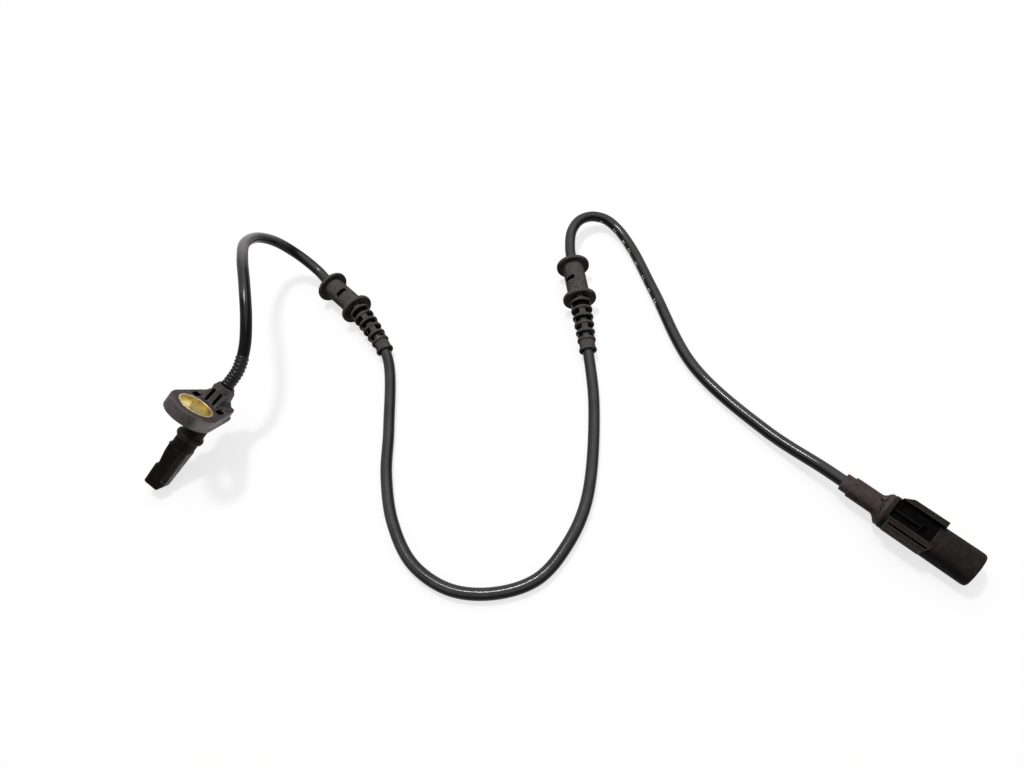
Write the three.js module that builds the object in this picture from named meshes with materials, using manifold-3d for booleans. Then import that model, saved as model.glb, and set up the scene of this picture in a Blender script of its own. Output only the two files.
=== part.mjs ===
// Wheel speed sensor of a car's anti-lock brakes: a moulded sensor head with a brass bolt bush,
// a two-core cable with two bulkhead grommets, and a two-pin connector.
// Millimetres. The harness lies on the plane z = 0. The head's nose tip points along -Y, its cable
// leaves along +Y, and the connector's mouth opens along +X.
import * as THREE from "three";
import { mergeVertices } from "three/addons/utils/BufferGeometryUtils.js";
import Module from "manifold-3d";

const wasm = await Module();
wasm.setup();

// Fits
const GAP = 0.3; // between two pieces that meet
const ROUND = 28; // sides of a large round
const SMALL_ROUND = 12; // sides of a small round

// Cable
const CABLE_RADIUS = 2.5;
const CABLE_SIDES = 10;
const CABLE_STEPS = 76;
const CORE_RADIUS = 0.55;
const CORE_SPREAD = 0.85; // from the cable's centre to a core's centre
const CORE_SIDES = 8;

// The cable's centreline, from the top of the head's neck to inside the connector.
const ROUTE = [
  [-3.5, 18, 29], [-3.2, 25.3, 33], [-7.2, 33.3, 37], [-14.2, 41.3, 42],
  [-27.2, 51.3, 46], [-40.2, 59.3, 46], [-51.2, 66.3, 42], [-59.2, 75.3, 33],
  [-59.7, 82.3, 24], [-53.7, 87.3, 15], [-42.2, 89.3, 9.4], [-31.2, 88.3, 7.9],
  [-11.2, 87.3, 7.9], [5.8, 84.3, 6.4], [20.8, 79.3, 4], [47.8, 56.3, 2.7],
  [64.8, 40.3, 2.7], [82.8, 28.3, 2.7], [101.8, 22.3, 2.7], [119.8, 25.3, 2.7],
  [133.8, 36.3, 2.7], [141.8, 51.3, 2.7], [140.8, 69.3, 2.7], [133.8, 88.3, 2.7],
  [107.8, 122.3, 2.8], [87.8, 141.3, 4.8], [66.8, 159.3, 7.9], [50.8, 172.3, 7.9],
  [42.3, 179.8, 8.4], [36.3, 187.8, 9.1], [34.3, 195.8, 8.8], [36.3, 202.3, 7.6],
  [41.8, 206.3, 6], [49.8, 206.3, 4.4], [62.8, 201.8, 2.8], [87.8, 187.8, 2.7],
  [126.8, 166.3, 2.8], [168.8, 159.3, 4], [195.8, 158.3, 7], [209, 158.3, 7],
];

// Head: how it lies
const HEAD_INCLINE = 27.7; // degrees between the nose and the floor
const HEAD_ROLL = 26.4; // degrees that the bush leans over, about the nose's axis
const HEAD_YAW = -4.1; // degrees between the nose's line on the floor and Y

// Head: nose, from its tip up
const STICK_WIDTH = 9.4;
const STICK_DEPTH = 8.8;
const STICK_CORNER = 2.2;
const STICK_HEIGHT = 21.2;
const TIP_TAPER = 0.88; // the stick's section at its tip, as a share of its section at the top
const TIP_EDGE = 0.6;
const TIP_BLOCK_HEIGHT = 9.2;
const TIP_CORNER_WIDTH = 2.4;
const TIP_CORNER_HEIGHT = 3;
const NOTCH_DEPTH = 1.8;
const NOTCH_RAMP = 1; // height of the waist's steep lower side
const NOTCH_LENGTH = 9.6;
const KEY_FLAT_DEPTH = 0.5;
const KEY_FLAT_ANGLE = -38; // degrees from +X, on the bush's side
const KEY_FLAT_START = 4.8;
const NUB_RADIUS = 0.9;
const NOSE_RADIUS = 4.9;
const NOSE_HEIGHT = 40.5; // tip to the underside of the flange
const SEAL_HEIGHT = 26.8;
const SEAL_RADIUS = 5.0; // to the middle of the ring's section
const SEAL_SECTION = 0.95;

// Head: flange and bush
const FLANGE_THICKNESS = 5.7;
const LEDGE_HEIGHT = 1.8;
const LEDGE_WIDTH = 0.6;
const BUSH_OFFSET = 17.5; // from the nose's axis to the bolt's axis
const BUSH_OUTER = 7.5;
const BUSH_INNER = 6.5;
const BUSH_PROUD = 0.3;
const BUSH_CHAMFER = 0.25;
const EAR_RADIUS = 10.6;
const BACK_HALF_WIDTH = 7.3;
const BACK_EDGE = 5.4;
const BACK_CORNER = 1.3;
const POCKET_X = 6.1;
const POCKET_Y = -6.9;
const POCKET_WIDTH = 2.8;
const POCKET_LENGTH = 5;
const POCKET_DEPTH = 3.5;

// Head: neck and strain relief
const NECK_HEIGHT = 8;
const NECK_BASE = 6.8;
const NECK_WAIST = 5.1;
const NECK_COLLAR = 4.75;
const NECK_COLLAR_START = 4.4;
const NECK_TOP = 3.3;
const NECK_GROOVE_WIDTH = 1.3;
const NECK_GROOVE_X = 1.8;
const NECK_GROOVE_FLOOR = 3.6;
const NECK_GROOVE_TOP = 4.2;
const SPIGOT_RADIUS = 2.4;
const SPIGOT_LENGTH = 2;
const RELIEF_LENGTH = 14;
const RELIEF_RIB = 2.85;
const RELIEF_GROOVE = 2.35;
const RELIEF_RIBS = 9;
const WIRE_BORE = 1.9;

// Head: what the nose holds
const CARRIER_WIDTH = 5.8;
const CARRIER_DEPTH = 4.2;
const CARRIER_START = 2.8;
const CARRIER_LENGTH = 18.7;
const CARRIER_WALL = 0.4;
const CARRIER_FLOOR = 1.3;
const CHIP_WIDTH = 4.4;
const CHIP_THICKNESS = 1.4;
const CHIP_LENGTH = 4.4;
const LEAD_X = 1.25;
const LEAD_WIDTH = 0.8;
const LEAD_THICKNESS = 0.5;
const LEAD_LENGTH = 6.4;
const CRIMP_OUTER = 1.05;
const CRIMP_LENGTH = 5;
const CRIMP_WALL = 0.2;

// Grommets
const FRONT_GROMMET_STATION = 140.2; // along the route to its first flange; its tail points on
const REAR_GROMMET_STATION = 503.7; // the same, but its tail points back towards the head
const GROMMET_FLANGE = 7.7;
const GROMMET_FLANGE_THICKNESS = 1.8;
const GROMMET_BARREL = 4.95;
const GROMMET_SPACING = 20; // from flange to flange
const GROMMET_NECK = 3.6;
const GROMMET_NECK_LENGTH = 2.6;
const GROMMET_SIDES = 16;
const TAIL_RINGS = 7;
const TAIL_START = 1.9; // from the second flange to the middle of the first ring
const TAIL_PITCH = 3.9;
const TAIL_END_PITCH = 5; // from the last ring but one to the last
const TAIL_RING_THICKNESS = 1.4;
const TAIL_RING_FIRST = 5.1;
const TAIL_RING_LAST = 4;
const TAIL_VALLEY = 0.5; // from a ring's edge down to the bars and the plain end
const TAIL_BAR_WIDTH = 2.6;
const SLOT_WIDTH = 4.8;
const SLOT_HEIGHT = 1.6;
const SLOT_DEPTH = 1.5;
const FRONT_SLOT_TURN = 8; // degrees about the cable from the top
const REAR_SLOT_TURN = 41;

// Connector, along its axis from the cable's side
const COLLAR_RADIUS = 3.4;
const COLLAR_LENGTH = 3;
const REAR_NECK_RADIUS = 4.05;
const REAR_NECK_LENGTH = 11;
const SHOULDER_LENGTH = 3.4;
const SHOULDER_RADIUS = 6.75;
const REAR_SPIGOT_RADIUS = 3.5;
const REAR_SPIGOT_LENGTH = 5;
const JACKET_INSERTION = 2.2; // cable inside the rear moulding
const BARREL_RADIUS = 6.95;
const HOUSING_LENGTH = 35.3;
const BARREL_EDGE = 0.8;
const SOCKET_RADIUS = 5.7;
const SOCKET_DEPTH = 13;
const REAR_CAVITY_DEPTH = 13;
const GUARD_HALF_SPAN = 7.5;
const GUARD_BOTTOM = 0.4;
const GUARD_START = 2.2; // from the housing's back face
const GUARD_LENGTH = 16.9;
const RAIL_WIDTH = 2.2;
const RAIL_TOP = 7.4;
const RAIL_CORNER_WIDTH = 1.9;
const RAIL_CORNER_LENGTH = 3.4;
const DECK_WIDTH = 4.9;
const DECK_TOP = 6.3;
const DECK_SLANT_WIDTH = 3;
const DECK_SLANT_LENGTH = 2.2;
const DECK_LINE_X = 2.3; // from the deck's outer edge
const DECK_LINE_WIDTH = 0.5;
const DECK_LINE_DEPTH = 0.5;
const RECESS_FLOOR = 4.8;
const RECESS_MARGIN = 1.6; // from the recess to the guard's end
const LATCH_RIB_X = 0.5;
const LATCH_RIB_WIDTH = 0.9;
const LATCH_RIB_TOP = 6.3;
const LATCH_RIB_LENGTH = 11;
const LATCH_NOSE_WIDTH = 2.6;
const LATCH_NOSE_LENGTH = 2.4;
const CONNECTOR_ROLL = 14; // degrees that the latch side leans to the nose's side
const PIN_SPREAD = 2.2;
const PIN_RADIUS = 0.8;
const PIN_LENGTH = 17.8;
const PIN_BODY_RADIUS = 1.0;
const PIN_BODY_LENGTH = 3;
const TERMINAL_CRIMP_RADIUS = 1.25;
const TERMINAL_CRIMP_LENGTH = 4.5;
const TERMINAL_START = 7.2; // from the housing's back face
const LOCK_THICKNESS = 2;

// Worked out from the sizes above
const FLANGE_TOP = NOSE_HEIGHT + FLANGE_THICKNESS;
const HEAD_LENGTH = FLANGE_TOP + NECK_HEIGHT;
const CARRIER_END = CARRIER_START + CARRIER_LENGTH;
const REAR_START = COLLAR_LENGTH + GAP;
const REAR_FACE = REAR_START + REAR_NECK_LENGTH + SHOULDER_LENGTH;
const HOUSING_START = REAR_FACE + GAP;
const MOUTH = HOUSING_START + HOUSING_LENGTH;
const JACKET_END = REAR_START + JACKET_INSERTION;

const radians = THREE.MathUtils.degToRad;
const v2 = (x, y) => new THREE.Vector2(x, y);
const v3 = (x, y, z) => new THREE.Vector3(x, y, z);

// Solids: three.js makes the shapes, and a solid is joined or cut as a Manifold.
function solid(geometry) {
  const bare = geometry.clone();
  bare.deleteAttribute("normal");
  bare.deleteAttribute("uv");
  const merged = mergeVertices(bare, 1e-4);
  return new wasm.Manifold(
    new wasm.Mesh({
      numProp: 3,
      vertProperties: new Float32Array(merged.attributes.position.array),
      triVerts: new Uint32Array(merged.index.array),
    }),
  );
}

function geometryOf(manifold) {
  const mesh = manifold.getMesh();
  const geometry = new THREE.BufferGeometry();
  geometry.setAttribute("position", new THREE.BufferAttribute(mesh.vertProperties, 3));
  geometry.setIndex(new THREE.BufferAttribute(mesh.triVerts, 1));
  return geometry;
}

const join = (first, ...others) => others.reduce((sum, other) => sum.add(other), first);
const cut = (first, ...others) => others.reduce((rest, other) => rest.subtract(other), first);

// A profile of [radius, z] points, from the lower end up, turned about Z.
function turned(profile, sides = ROUND) {
  const points = profile.map(([radius, z]) => v2(radius, z));
  return solid(new THREE.LatheGeometry(points, sides).rotateX(Math.PI / 2));
}

function rod(radius, z0, z1, sides = ROUND, x = 0, y = 0) {
  const geometry = new THREE.CylinderGeometry(radius, radius, z1 - z0, sides);
  return solid(geometry.rotateX(Math.PI / 2).translate(x, y, (z0 + z1) / 2));
}

function tube(outer, inner, z0, z1, sides = ROUND, x = 0, y = 0) {
  return rod(outer, z0, z1, sides, x, y).subtract(rod(inner, z0 - 1, z1 + 1, sides, x, y));
}

// A block between two corners.
function block([x0, y0, z0], [x1, y1, z1]) {
  const geometry = new THREE.BoxGeometry(x1 - x0, y1 - y0, z1 - z0);
  return solid(geometry.translate((x0 + x1) / 2, (y0 + y1) / 2, (z0 + z1) / 2));
}

// An outline in XY, pulled up from z0 to z1, with an optional rounded edge at both ends.
function plate(shape, z0, z1, edge = 0) {
  const geometry = new THREE.ExtrudeGeometry(shape, {
    depth: z1 - z0 - 2 * edge,
    bevelEnabled: edge > 0,
    bevelThickness: edge,
    bevelSize: edge,
    bevelOffset: -edge,
    bevelSegments: 2,
    curveSegments: 6,
  });
  return solid(geometry.translate(0, 0, z0 + edge));
}

function roundedRectangle(width, height, radius, x = 0, y = 0) {
  const [left, right] = [x - width / 2, x + width / 2];
  const [low, high] = [y - height / 2, y + height / 2];
  const shape = new THREE.Shape();
  shape.absarc(right - radius, low + radius, radius, -Math.PI / 2, 0);
  shape.absarc(right - radius, high - radius, radius, 0, Math.PI / 2);
  shape.absarc(left + radius, high - radius, radius, Math.PI / 2, Math.PI);
  shape.absarc(left + radius, low + radius, radius, Math.PI, 1.5 * Math.PI);
  shape.closePath();
  return shape;
}

function regularPolygon(radius, sides) {
  const corner = (i) => (2 * Math.PI * i) / sides;
  const points = Array.from({ length: sides }, (_, i) =>
    v2(radius * Math.cos(corner(i)), radius * Math.sin(corner(i))));
  return new THREE.Shape(points);
}

function swept(curve, radius, sides, steps) {
  const settings = { steps, extrudePath: curve, bevelEnabled: false };
  return solid(new THREE.ExtrudeGeometry(regularPolygon(radius, sides), settings));
}

// The cable's route, and places along it by length.
const route = new THREE.CatmullRomCurve3(ROUTE.map((point) => v3(...point)), false, "centripetal");
route.arcLengthDivisions = 2400;
const routeLength = route.getLength();

class RouteSection extends THREE.Curve {
  constructor(start, end) {
    super();
    this.start = start;
    this.end = end;
  }

  getPoint(t, target = v3(0, 0, 0)) {
    const along = THREE.MathUtils.lerp(this.start, this.end, t);
    return route.getPointAt(along / routeLength, target);
  }
}

// A place on the route with its axes: z runs along the cable, y is up and x is across.
// Past either end, the route goes straight on.
function frameAt(along, direction = 1) {
  const onRoute = THREE.MathUtils.clamp(along, 0, routeLength);
  const forward = route.getTangentAt(onRoute / routeLength);
  const place = route.getPointAt(onRoute / routeLength).addScaledVector(forward, along - onRoute);
  forward.multiplyScalar(direction);
  const up = v3(0, 0, 1).addScaledVector(forward, -forward.z).normalize();
  const across = v3(0, 0, 0).crossVectors(up, forward);
  return new THREE.Matrix4().makeBasis(across, up, forward).setPosition(place);
}

// Bends a straight solid, whose z is a length, along the cable from the place start.
function bentAlongRoute(manifold, start, direction = 1) {
  const geometry = geometryOf(manifold);
  const position = geometry.attributes.position;
  const point = v3(0, 0, 0);
  for (let i = 0; i < position.count; i++) {
    point.fromBufferAttribute(position, i);
    const frame = frameAt(start + direction * point.z, direction);
    point.setZ(0).applyMatrix4(frame);
    position.setXYZ(i, point.x, point.y, point.z);
  }
  return solid(geometry);
}

// Materials
const material = (color, roughness, metalness = 0) =>
  new THREE.MeshStandardMaterial({ color, roughness, metalness });
const headPlastic = material(0x35302f, 0.6);
const connectorPlastic = material(0x4a4040, 0.65);
const rubber = material(0x3f3b3b, 0.8);
const sealRubber = material(0x1c1b1b, 0.6);
const jacketPlastic = material(0x141414, 0.25);
const brass = material(0xc9a648, 0.3, 1);
const carrierPlastic = material(0x23252b, 0.5);
const chipResin = material(0x17181a, 0.4);
const tinnedCopper = material(0xb9b4aa, 0.35, 1);
const lockPlastic = material(0x6b6f78, 0.5);
const supplyInsulation = material(0x8a5a36, 0.5);
const signalInsulation = material(0x2f4f8a, 0.5);

function part(name, manifold, look) {
  const mesh = new THREE.Mesh(geometryOf(manifold), look);
  mesh.name = name;
  return mesh;
}

// Head, in its own frame: the nose's axis is Z from its tip up, and the bush lies along -Y.
const headMatrix = new THREE.Matrix4().makeRotationZ(radians(HEAD_YAW))
  .multiply(new THREE.Matrix4().makeRotationX(radians(HEAD_INCLINE - 90)))
  .multiply(new THREE.Matrix4().makeRotationZ(radians(HEAD_ROLL)));
headMatrix.setPosition(
  v3(...ROUTE[0]).sub(v3(0, 0, HEAD_LENGTH).applyMatrix4(headMatrix)));

// The flange's outline: an ear round the bush, and straight sides to a back edge.
function flangeShape(grow) {
  const bush = v2(0, -BUSH_OFFSET);
  const corner = v2(BACK_HALF_WIDTH + grow, BACK_EDGE + grow);
  const reach = corner.distanceTo(bush);
  const toCorner = Math.atan2(corner.y - bush.y, corner.x - bush.x);
  const touch = toCorner - Math.acos(EAR_RADIUS / reach);
  const side = v2(
    bush.x + EAR_RADIUS * Math.cos(touch),
    bush.y + EAR_RADIUS * Math.sin(touch),
  ).sub(corner).setLength(BACK_CORNER);
  const shape = new THREE.Shape();
  shape.absarc(bush.x, bush.y, EAR_RADIUS, Math.PI - touch, 2 * Math.PI + touch);
  shape.lineTo(corner.x + side.x, corner.y + side.y);
  shape.quadraticCurveTo(corner.x, corner.y, corner.x - BACK_CORNER, corner.y);
  shape.lineTo(-corner.x + BACK_CORNER, corner.y);
  shape.quadraticCurveTo(-corner.x, corner.y, -corner.x - side.x, corner.y + side.y);
  shape.closePath();
  return shape;
}

function flange() {
  const ledgeTop = NOSE_HEIGHT + LEDGE_HEIGHT;
  const ledge = plate(flangeShape(LEDGE_WIDTH), NOSE_HEIGHT, ledgeTop);
  const top = plate(flangeShape(0), NOSE_HEIGHT, FLANGE_TOP, 0.5);
  const pockets = [-1, 1].map((side) =>
    plate(
      roundedRectangle(POCKET_WIDTH, POCKET_LENGTH, 0.8, side * POCKET_X, POCKET_Y),
      FLANGE_TOP - POCKET_DEPTH,
      FLANGE_TOP + 1,
    ));
  const bushBore = rod(
    BUSH_OUTER + GAP, NOSE_HEIGHT - 1, FLANGE_TOP + 1, ROUND + 4, 0, -BUSH_OFFSET);
  return cut(join(top, ledge), ...pockets, bushBore);
}

// A cutter that goes right through along Y, from an outline of [x, z] points.
function crossCut(points, reach) {
  const shape = new THREE.Shape(points.map(([x, z]) => v2(x, z)));
  const geometry = new THREE.ExtrudeGeometry(shape, { depth: 2 * reach, bevelEnabled: false });
  return solid(geometry.translate(0, 0, -reach).rotateX(Math.PI / 2));
}

// The lower nose: a square stick that narrows to its tip, with a waist on one side, a corner off
// the tip, a flat along one edge and a nub.
function stick() {
  const body = plate(
    roundedRectangle(STICK_WIDTH, STICK_DEPTH, STICK_CORNER), 0, STICK_HEIGHT, TIP_EDGE,
  ).warp((point) => {
    const share = THREE.MathUtils.lerp(TIP_TAPER, 1, point[2] / STICK_HEIGHT);
    point[0] *= share;
    point[1] *= share;
  });
  const face = -STICK_WIDTH / 2;
  const waist = crossCut([
    [face - 2, TIP_BLOCK_HEIGHT],
    [face, TIP_BLOCK_HEIGHT],
    [face + NOTCH_DEPTH, TIP_BLOCK_HEIGHT + NOTCH_RAMP],
    [face, TIP_BLOCK_HEIGHT + NOTCH_LENGTH],
    [face - 2, TIP_BLOCK_HEIGHT + NOTCH_LENGTH],
  ], STICK_DEPTH);
  const tipSide = (STICK_WIDTH / 2) * TIP_TAPER;
  const tipCorner = crossCut([
    [tipSide - TIP_CORNER_WIDTH, -1],
    [tipSide - TIP_CORNER_WIDTH, 0],
    [tipSide + 0.2, TIP_CORNER_HEIGHT],
    [tipSide + 2, TIP_CORNER_HEIGHT],
    [tipSide + 2, -1],
  ], STICK_DEPTH);
  const flatReach = NOSE_RADIUS - KEY_FLAT_DEPTH;
  const keyFlat = new THREE.BoxGeometry(4, STICK_DEPTH + 4, STICK_HEIGHT)
    .translate(flatReach + 2, 0, KEY_FLAT_START + STICK_HEIGHT / 2)
    .rotateZ(radians(KEY_FLAT_ANGLE));
  const nub = new THREE.SphereGeometry(NUB_RADIUS, SMALL_ROUND, 8)
    .translate(face, 0, TIP_BLOCK_HEIGHT + NOTCH_LENGTH + NUB_RADIUS);
  return join(cut(body, waist, tipCorner, solid(keyFlat)), solid(nub));
}

function neck() {
  const body = turned([
    [0, NOSE_HEIGHT + 1],
    [NECK_BASE, NOSE_HEIGHT + 1],
    [NECK_BASE, FLANGE_TOP + 0.4],
    [(NECK_BASE + NECK_WAIST) / 2, FLANGE_TOP + NECK_COLLAR_START * 0.35],
    [NECK_WAIST, FLANGE_TOP + NECK_COLLAR_START * 0.75],
    [NECK_COLLAR, FLANGE_TOP + NECK_COLLAR_START],
    [NECK_COLLAR, HEAD_LENGTH - 1.4],
    [NECK_TOP + 0.5, HEAD_LENGTH - 0.4],
    [NECK_TOP, HEAD_LENGTH],
    [0, HEAD_LENGTH],
  ]);
  const grooves = [];
  for (const x of [-NECK_GROOVE_X, NECK_GROOVE_X]) {
    for (const [y0, y1] of [[-NECK_BASE - 1, -NECK_GROOVE_FLOOR], [NECK_GROOVE_FLOOR, NECK_BASE + 1]]) {
      grooves.push(block(
        [x - NECK_GROOVE_WIDTH / 2, y0, FLANGE_TOP + 0.3],
        [x + NECK_GROOVE_WIDTH / 2, y1, FLANGE_TOP + NECK_GROOVE_TOP],
      ));
    }
  }
  return cut(body, ...grooves);
}

function headHousing() {
  const sealGroove = cut(
    rod(NOSE_RADIUS + 1, SEAL_HEIGHT - SEAL_SECTION - GAP, SEAL_HEIGHT + SEAL_SECTION + GAP),
    rod(SEAL_RADIUS - SEAL_SECTION - GAP, 0, NOSE_HEIGHT),
  );
  const chamber = block(
    [-CARRIER_WIDTH / 2 - GAP, -CARRIER_DEPTH / 2 - GAP, CARRIER_START - GAP],
    [CARRIER_WIDTH / 2 + GAP, CARRIER_DEPTH / 2 + GAP, CARRIER_END + GAP],
  );
  return cut(
    join(
      stick(),
      rod(NOSE_RADIUS, STICK_HEIGHT - 1, NOSE_HEIGHT + 1),
      flange(),
      neck(),
    ),
    sealGroove,
    chamber,
    rod(WIRE_BORE + GAP, CARRIER_END, HEAD_LENGTH + 1, SMALL_ROUND),
    rod(SPIGOT_RADIUS + GAP, HEAD_LENGTH - SPIGOT_LENGTH - GAP, HEAD_LENGTH + 1, SMALL_ROUND),
  );
}

function flangeBushing() {
  const low = NOSE_HEIGHT - BUSH_PROUD;
  const high = FLANGE_TOP + BUSH_PROUD;
  const body = turned([
    [0, low],
    [BUSH_OUTER - BUSH_CHAMFER, low],
    [BUSH_OUTER, low + BUSH_CHAMFER],
    [BUSH_OUTER, high - BUSH_CHAMFER],
    [BUSH_OUTER - BUSH_CHAMFER, high],
    [0, high],
  ], ROUND + 4);
  const bore = turned([
    [0, low - 1],
    [BUSH_INNER + BUSH_CHAMFER, low - 1],
    [BUSH_INNER + BUSH_CHAMFER, low],
    [BUSH_INNER, low + BUSH_CHAMFER],
    [BUSH_INNER, high - BUSH_CHAMFER],
    [BUSH_INNER + BUSH_CHAMFER, high],
    [BUSH_INNER + BUSH_CHAMFER, high + 1],
    [0, high + 1],
  ], ROUND + 4);
  const moved = geometryOf(body.subtract(bore)).translate(0, -BUSH_OFFSET, 0);
  return solid(moved);
}

function noseSealRing() {
  const ring = new THREE.TorusGeometry(SEAL_RADIUS, SEAL_SECTION, 8, ROUND);
  return solid(ring.translate(0, 0, SEAL_HEIGHT));
}

// The tray that holds the chip and the crimps. Its open side faces the bush.
const trayFloor = CARRIER_DEPTH / 2 - CARRIER_FLOOR;
const chipStart = CARRIER_START + CARRIER_WALL + GAP;
const leadY = trayFloor - GAP - CRIMP_OUTER;
const leadStart = chipStart + CHIP_LENGTH + GAP;
const crimpStart = leadStart + LEAD_LENGTH - 2.4;

function sensorCarrier() {
  const inner = CARRIER_WIDTH / 2 - CARRIER_WALL;
  const hollow = block(
    [-inner, -CARRIER_DEPTH, CARRIER_START + CARRIER_WALL],
    [inner, trayFloor, CARRIER_END - CARRIER_WALL],
  );
  const wireGate = block(
    [-LEAD_X - CORE_RADIUS - GAP, -CARRIER_DEPTH, CARRIER_END - 1],
    [LEAD_X + CORE_RADIUS + GAP, trayFloor, CARRIER_END + 1],
  );
  const body = block(
    [-CARRIER_WIDTH / 2, -CARRIER_DEPTH / 2, CARRIER_START],
    [CARRIER_WIDTH / 2, CARRIER_DEPTH / 2, CARRIER_END],
  );
  return cut(body, hollow, wireGate);
}

function hallSensorIc() {
  const shape = new THREE.Shape([
    v2(-CHIP_WIDTH / 2, 0),
    v2(CHIP_WIDTH / 2, 0),
    v2(CHIP_WIDTH / 2, CHIP_LENGTH * 0.75),
    v2(CHIP_WIDTH / 2 - 0.8, CHIP_LENGTH),
    v2(-CHIP_WIDTH / 2 + 0.8, CHIP_LENGTH),
    v2(-CHIP_WIDTH / 2, CHIP_LENGTH * 0.75),
  ]);
  const chip = new THREE.ExtrudeGeometry(shape, { depth: CHIP_THICKNESS, bevelEnabled: false })
    .rotateX(Math.PI / 2)
    .translate(0, trayFloor - GAP, chipStart);
  return solid(chip);
}

function icLead(side) {
  const x = side * LEAD_X;
  return block(
    [x - LEAD_WIDTH / 2, leadY - LEAD_THICKNESS / 2, leadStart],
    [x + LEAD_WIDTH / 2, leadY + LEAD_THICKNESS / 2, leadStart + LEAD_LENGTH],
  );
}

function crimp(side) {
  const inner = CRIMP_OUTER - CRIMP_WALL;
  return tube(
    CRIMP_OUTER, inner, crimpStart, crimpStart + CRIMP_LENGTH, SMALL_ROUND, side * LEAD_X, leadY);
}

// A head core runs from its crimp up the nose, through the neck and along the bent strain relief.
function headCore(side) {
  const start = crimpStart + CRIMP_LENGTH - 2;
  const inHead = [
    [LEAD_X, leadY, start],
    [LEAD_X, leadY, crimpStart + CRIMP_LENGTH + 0.5],
    [LEAD_X * 0.8, leadY / 2, CARRIER_END + 0.5],
    [CORE_SPREAD, 0, CARRIER_END + CARRIER_LENGTH / 3],
    [CORE_SPREAD, 0, FLANGE_TOP],
    [CORE_SPREAD, 0, HEAD_LENGTH - 2.5],
  ].map(([x, y, z]) => v3(side * x, y, z).applyMatrix4(headMatrix));
  const rollHere = radians(HEAD_ROLL);
  const inRelief = [0.1, 0.35, 0.6, 0.85, 1].map((share) => {
    const along = (RELIEF_LENGTH - GAP) * share;
    const offset = v3(-Math.cos(rollHere), -Math.sin(rollHere), 0);
    return offset.multiplyScalar(side * CORE_SPREAD).applyMatrix4(frameAt(along));
  });
  const curve = new THREE.CatmullRomCurve3([...inHead, ...inRelief], false, "centripetal");
  return swept(curve, CORE_RADIUS, CORE_SIDES, 24);
}

function headStrainRelief() {
  const profile = [
    [WIRE_BORE, -SPIGOT_LENGTH],
    [SPIGOT_RADIUS, -SPIGOT_LENGTH],
    [SPIGOT_RADIUS, GAP],
    [RELIEF_RIB, GAP],
  ];
  const pitch = (RELIEF_LENGTH - GAP) / RELIEF_RIBS;
  for (let i = 0; i < RELIEF_RIBS; i++) {
    const z = GAP + i * pitch;
    profile.push([RELIEF_RIB, z + pitch * 0.5]);
    profile.push([RELIEF_GROOVE, z + pitch * 0.62]);
    profile.push([RELIEF_GROOVE, z + pitch * 0.88]);
    profile.push([RELIEF_RIB, z + pitch]);
  }
  for (let i = RELIEF_RIBS; i >= 0; i--) {
    profile.push([WIRE_BORE, GAP + i * pitch]);
  }
  profile.push(profile[0]);
  return bentAlongRoute(turned(profile, SMALL_ROUND), 0);
}

function head() {
  const group = new THREE.Group();
  group.applyMatrix4(headMatrix);
  group.add(
    part("head_housing", headHousing(), headPlastic),
    part("flange_bushing", flangeBushing(), brass),
    part("nose_seal_ring", noseSealRing(), sealRubber),
    part("sensor_carrier", sensorCarrier(), carrierPlastic),
    part("hall_sensor_ic", hallSensorIc(), chipResin),
    part("ic_lead_supply", icLead(1), tinnedCopper),
    part("ic_lead_signal", icLead(-1), tinnedCopper),
    part("crimp_supply", crimp(1), tinnedCopper),
    part("crimp_signal", crimp(-1), tinnedCopper),
  );
  return group;
}

// Cable
const jacketCurve = new RouteSection(RELIEF_LENGTH + GAP, routeLength);
const jacket = swept(jacketCurve, CABLE_RADIUS, CABLE_SIDES, CABLE_STEPS);
const jacketSpace = swept(jacketCurve, CABLE_RADIUS + GAP, CABLE_SIDES, CABLE_STEPS);

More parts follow.
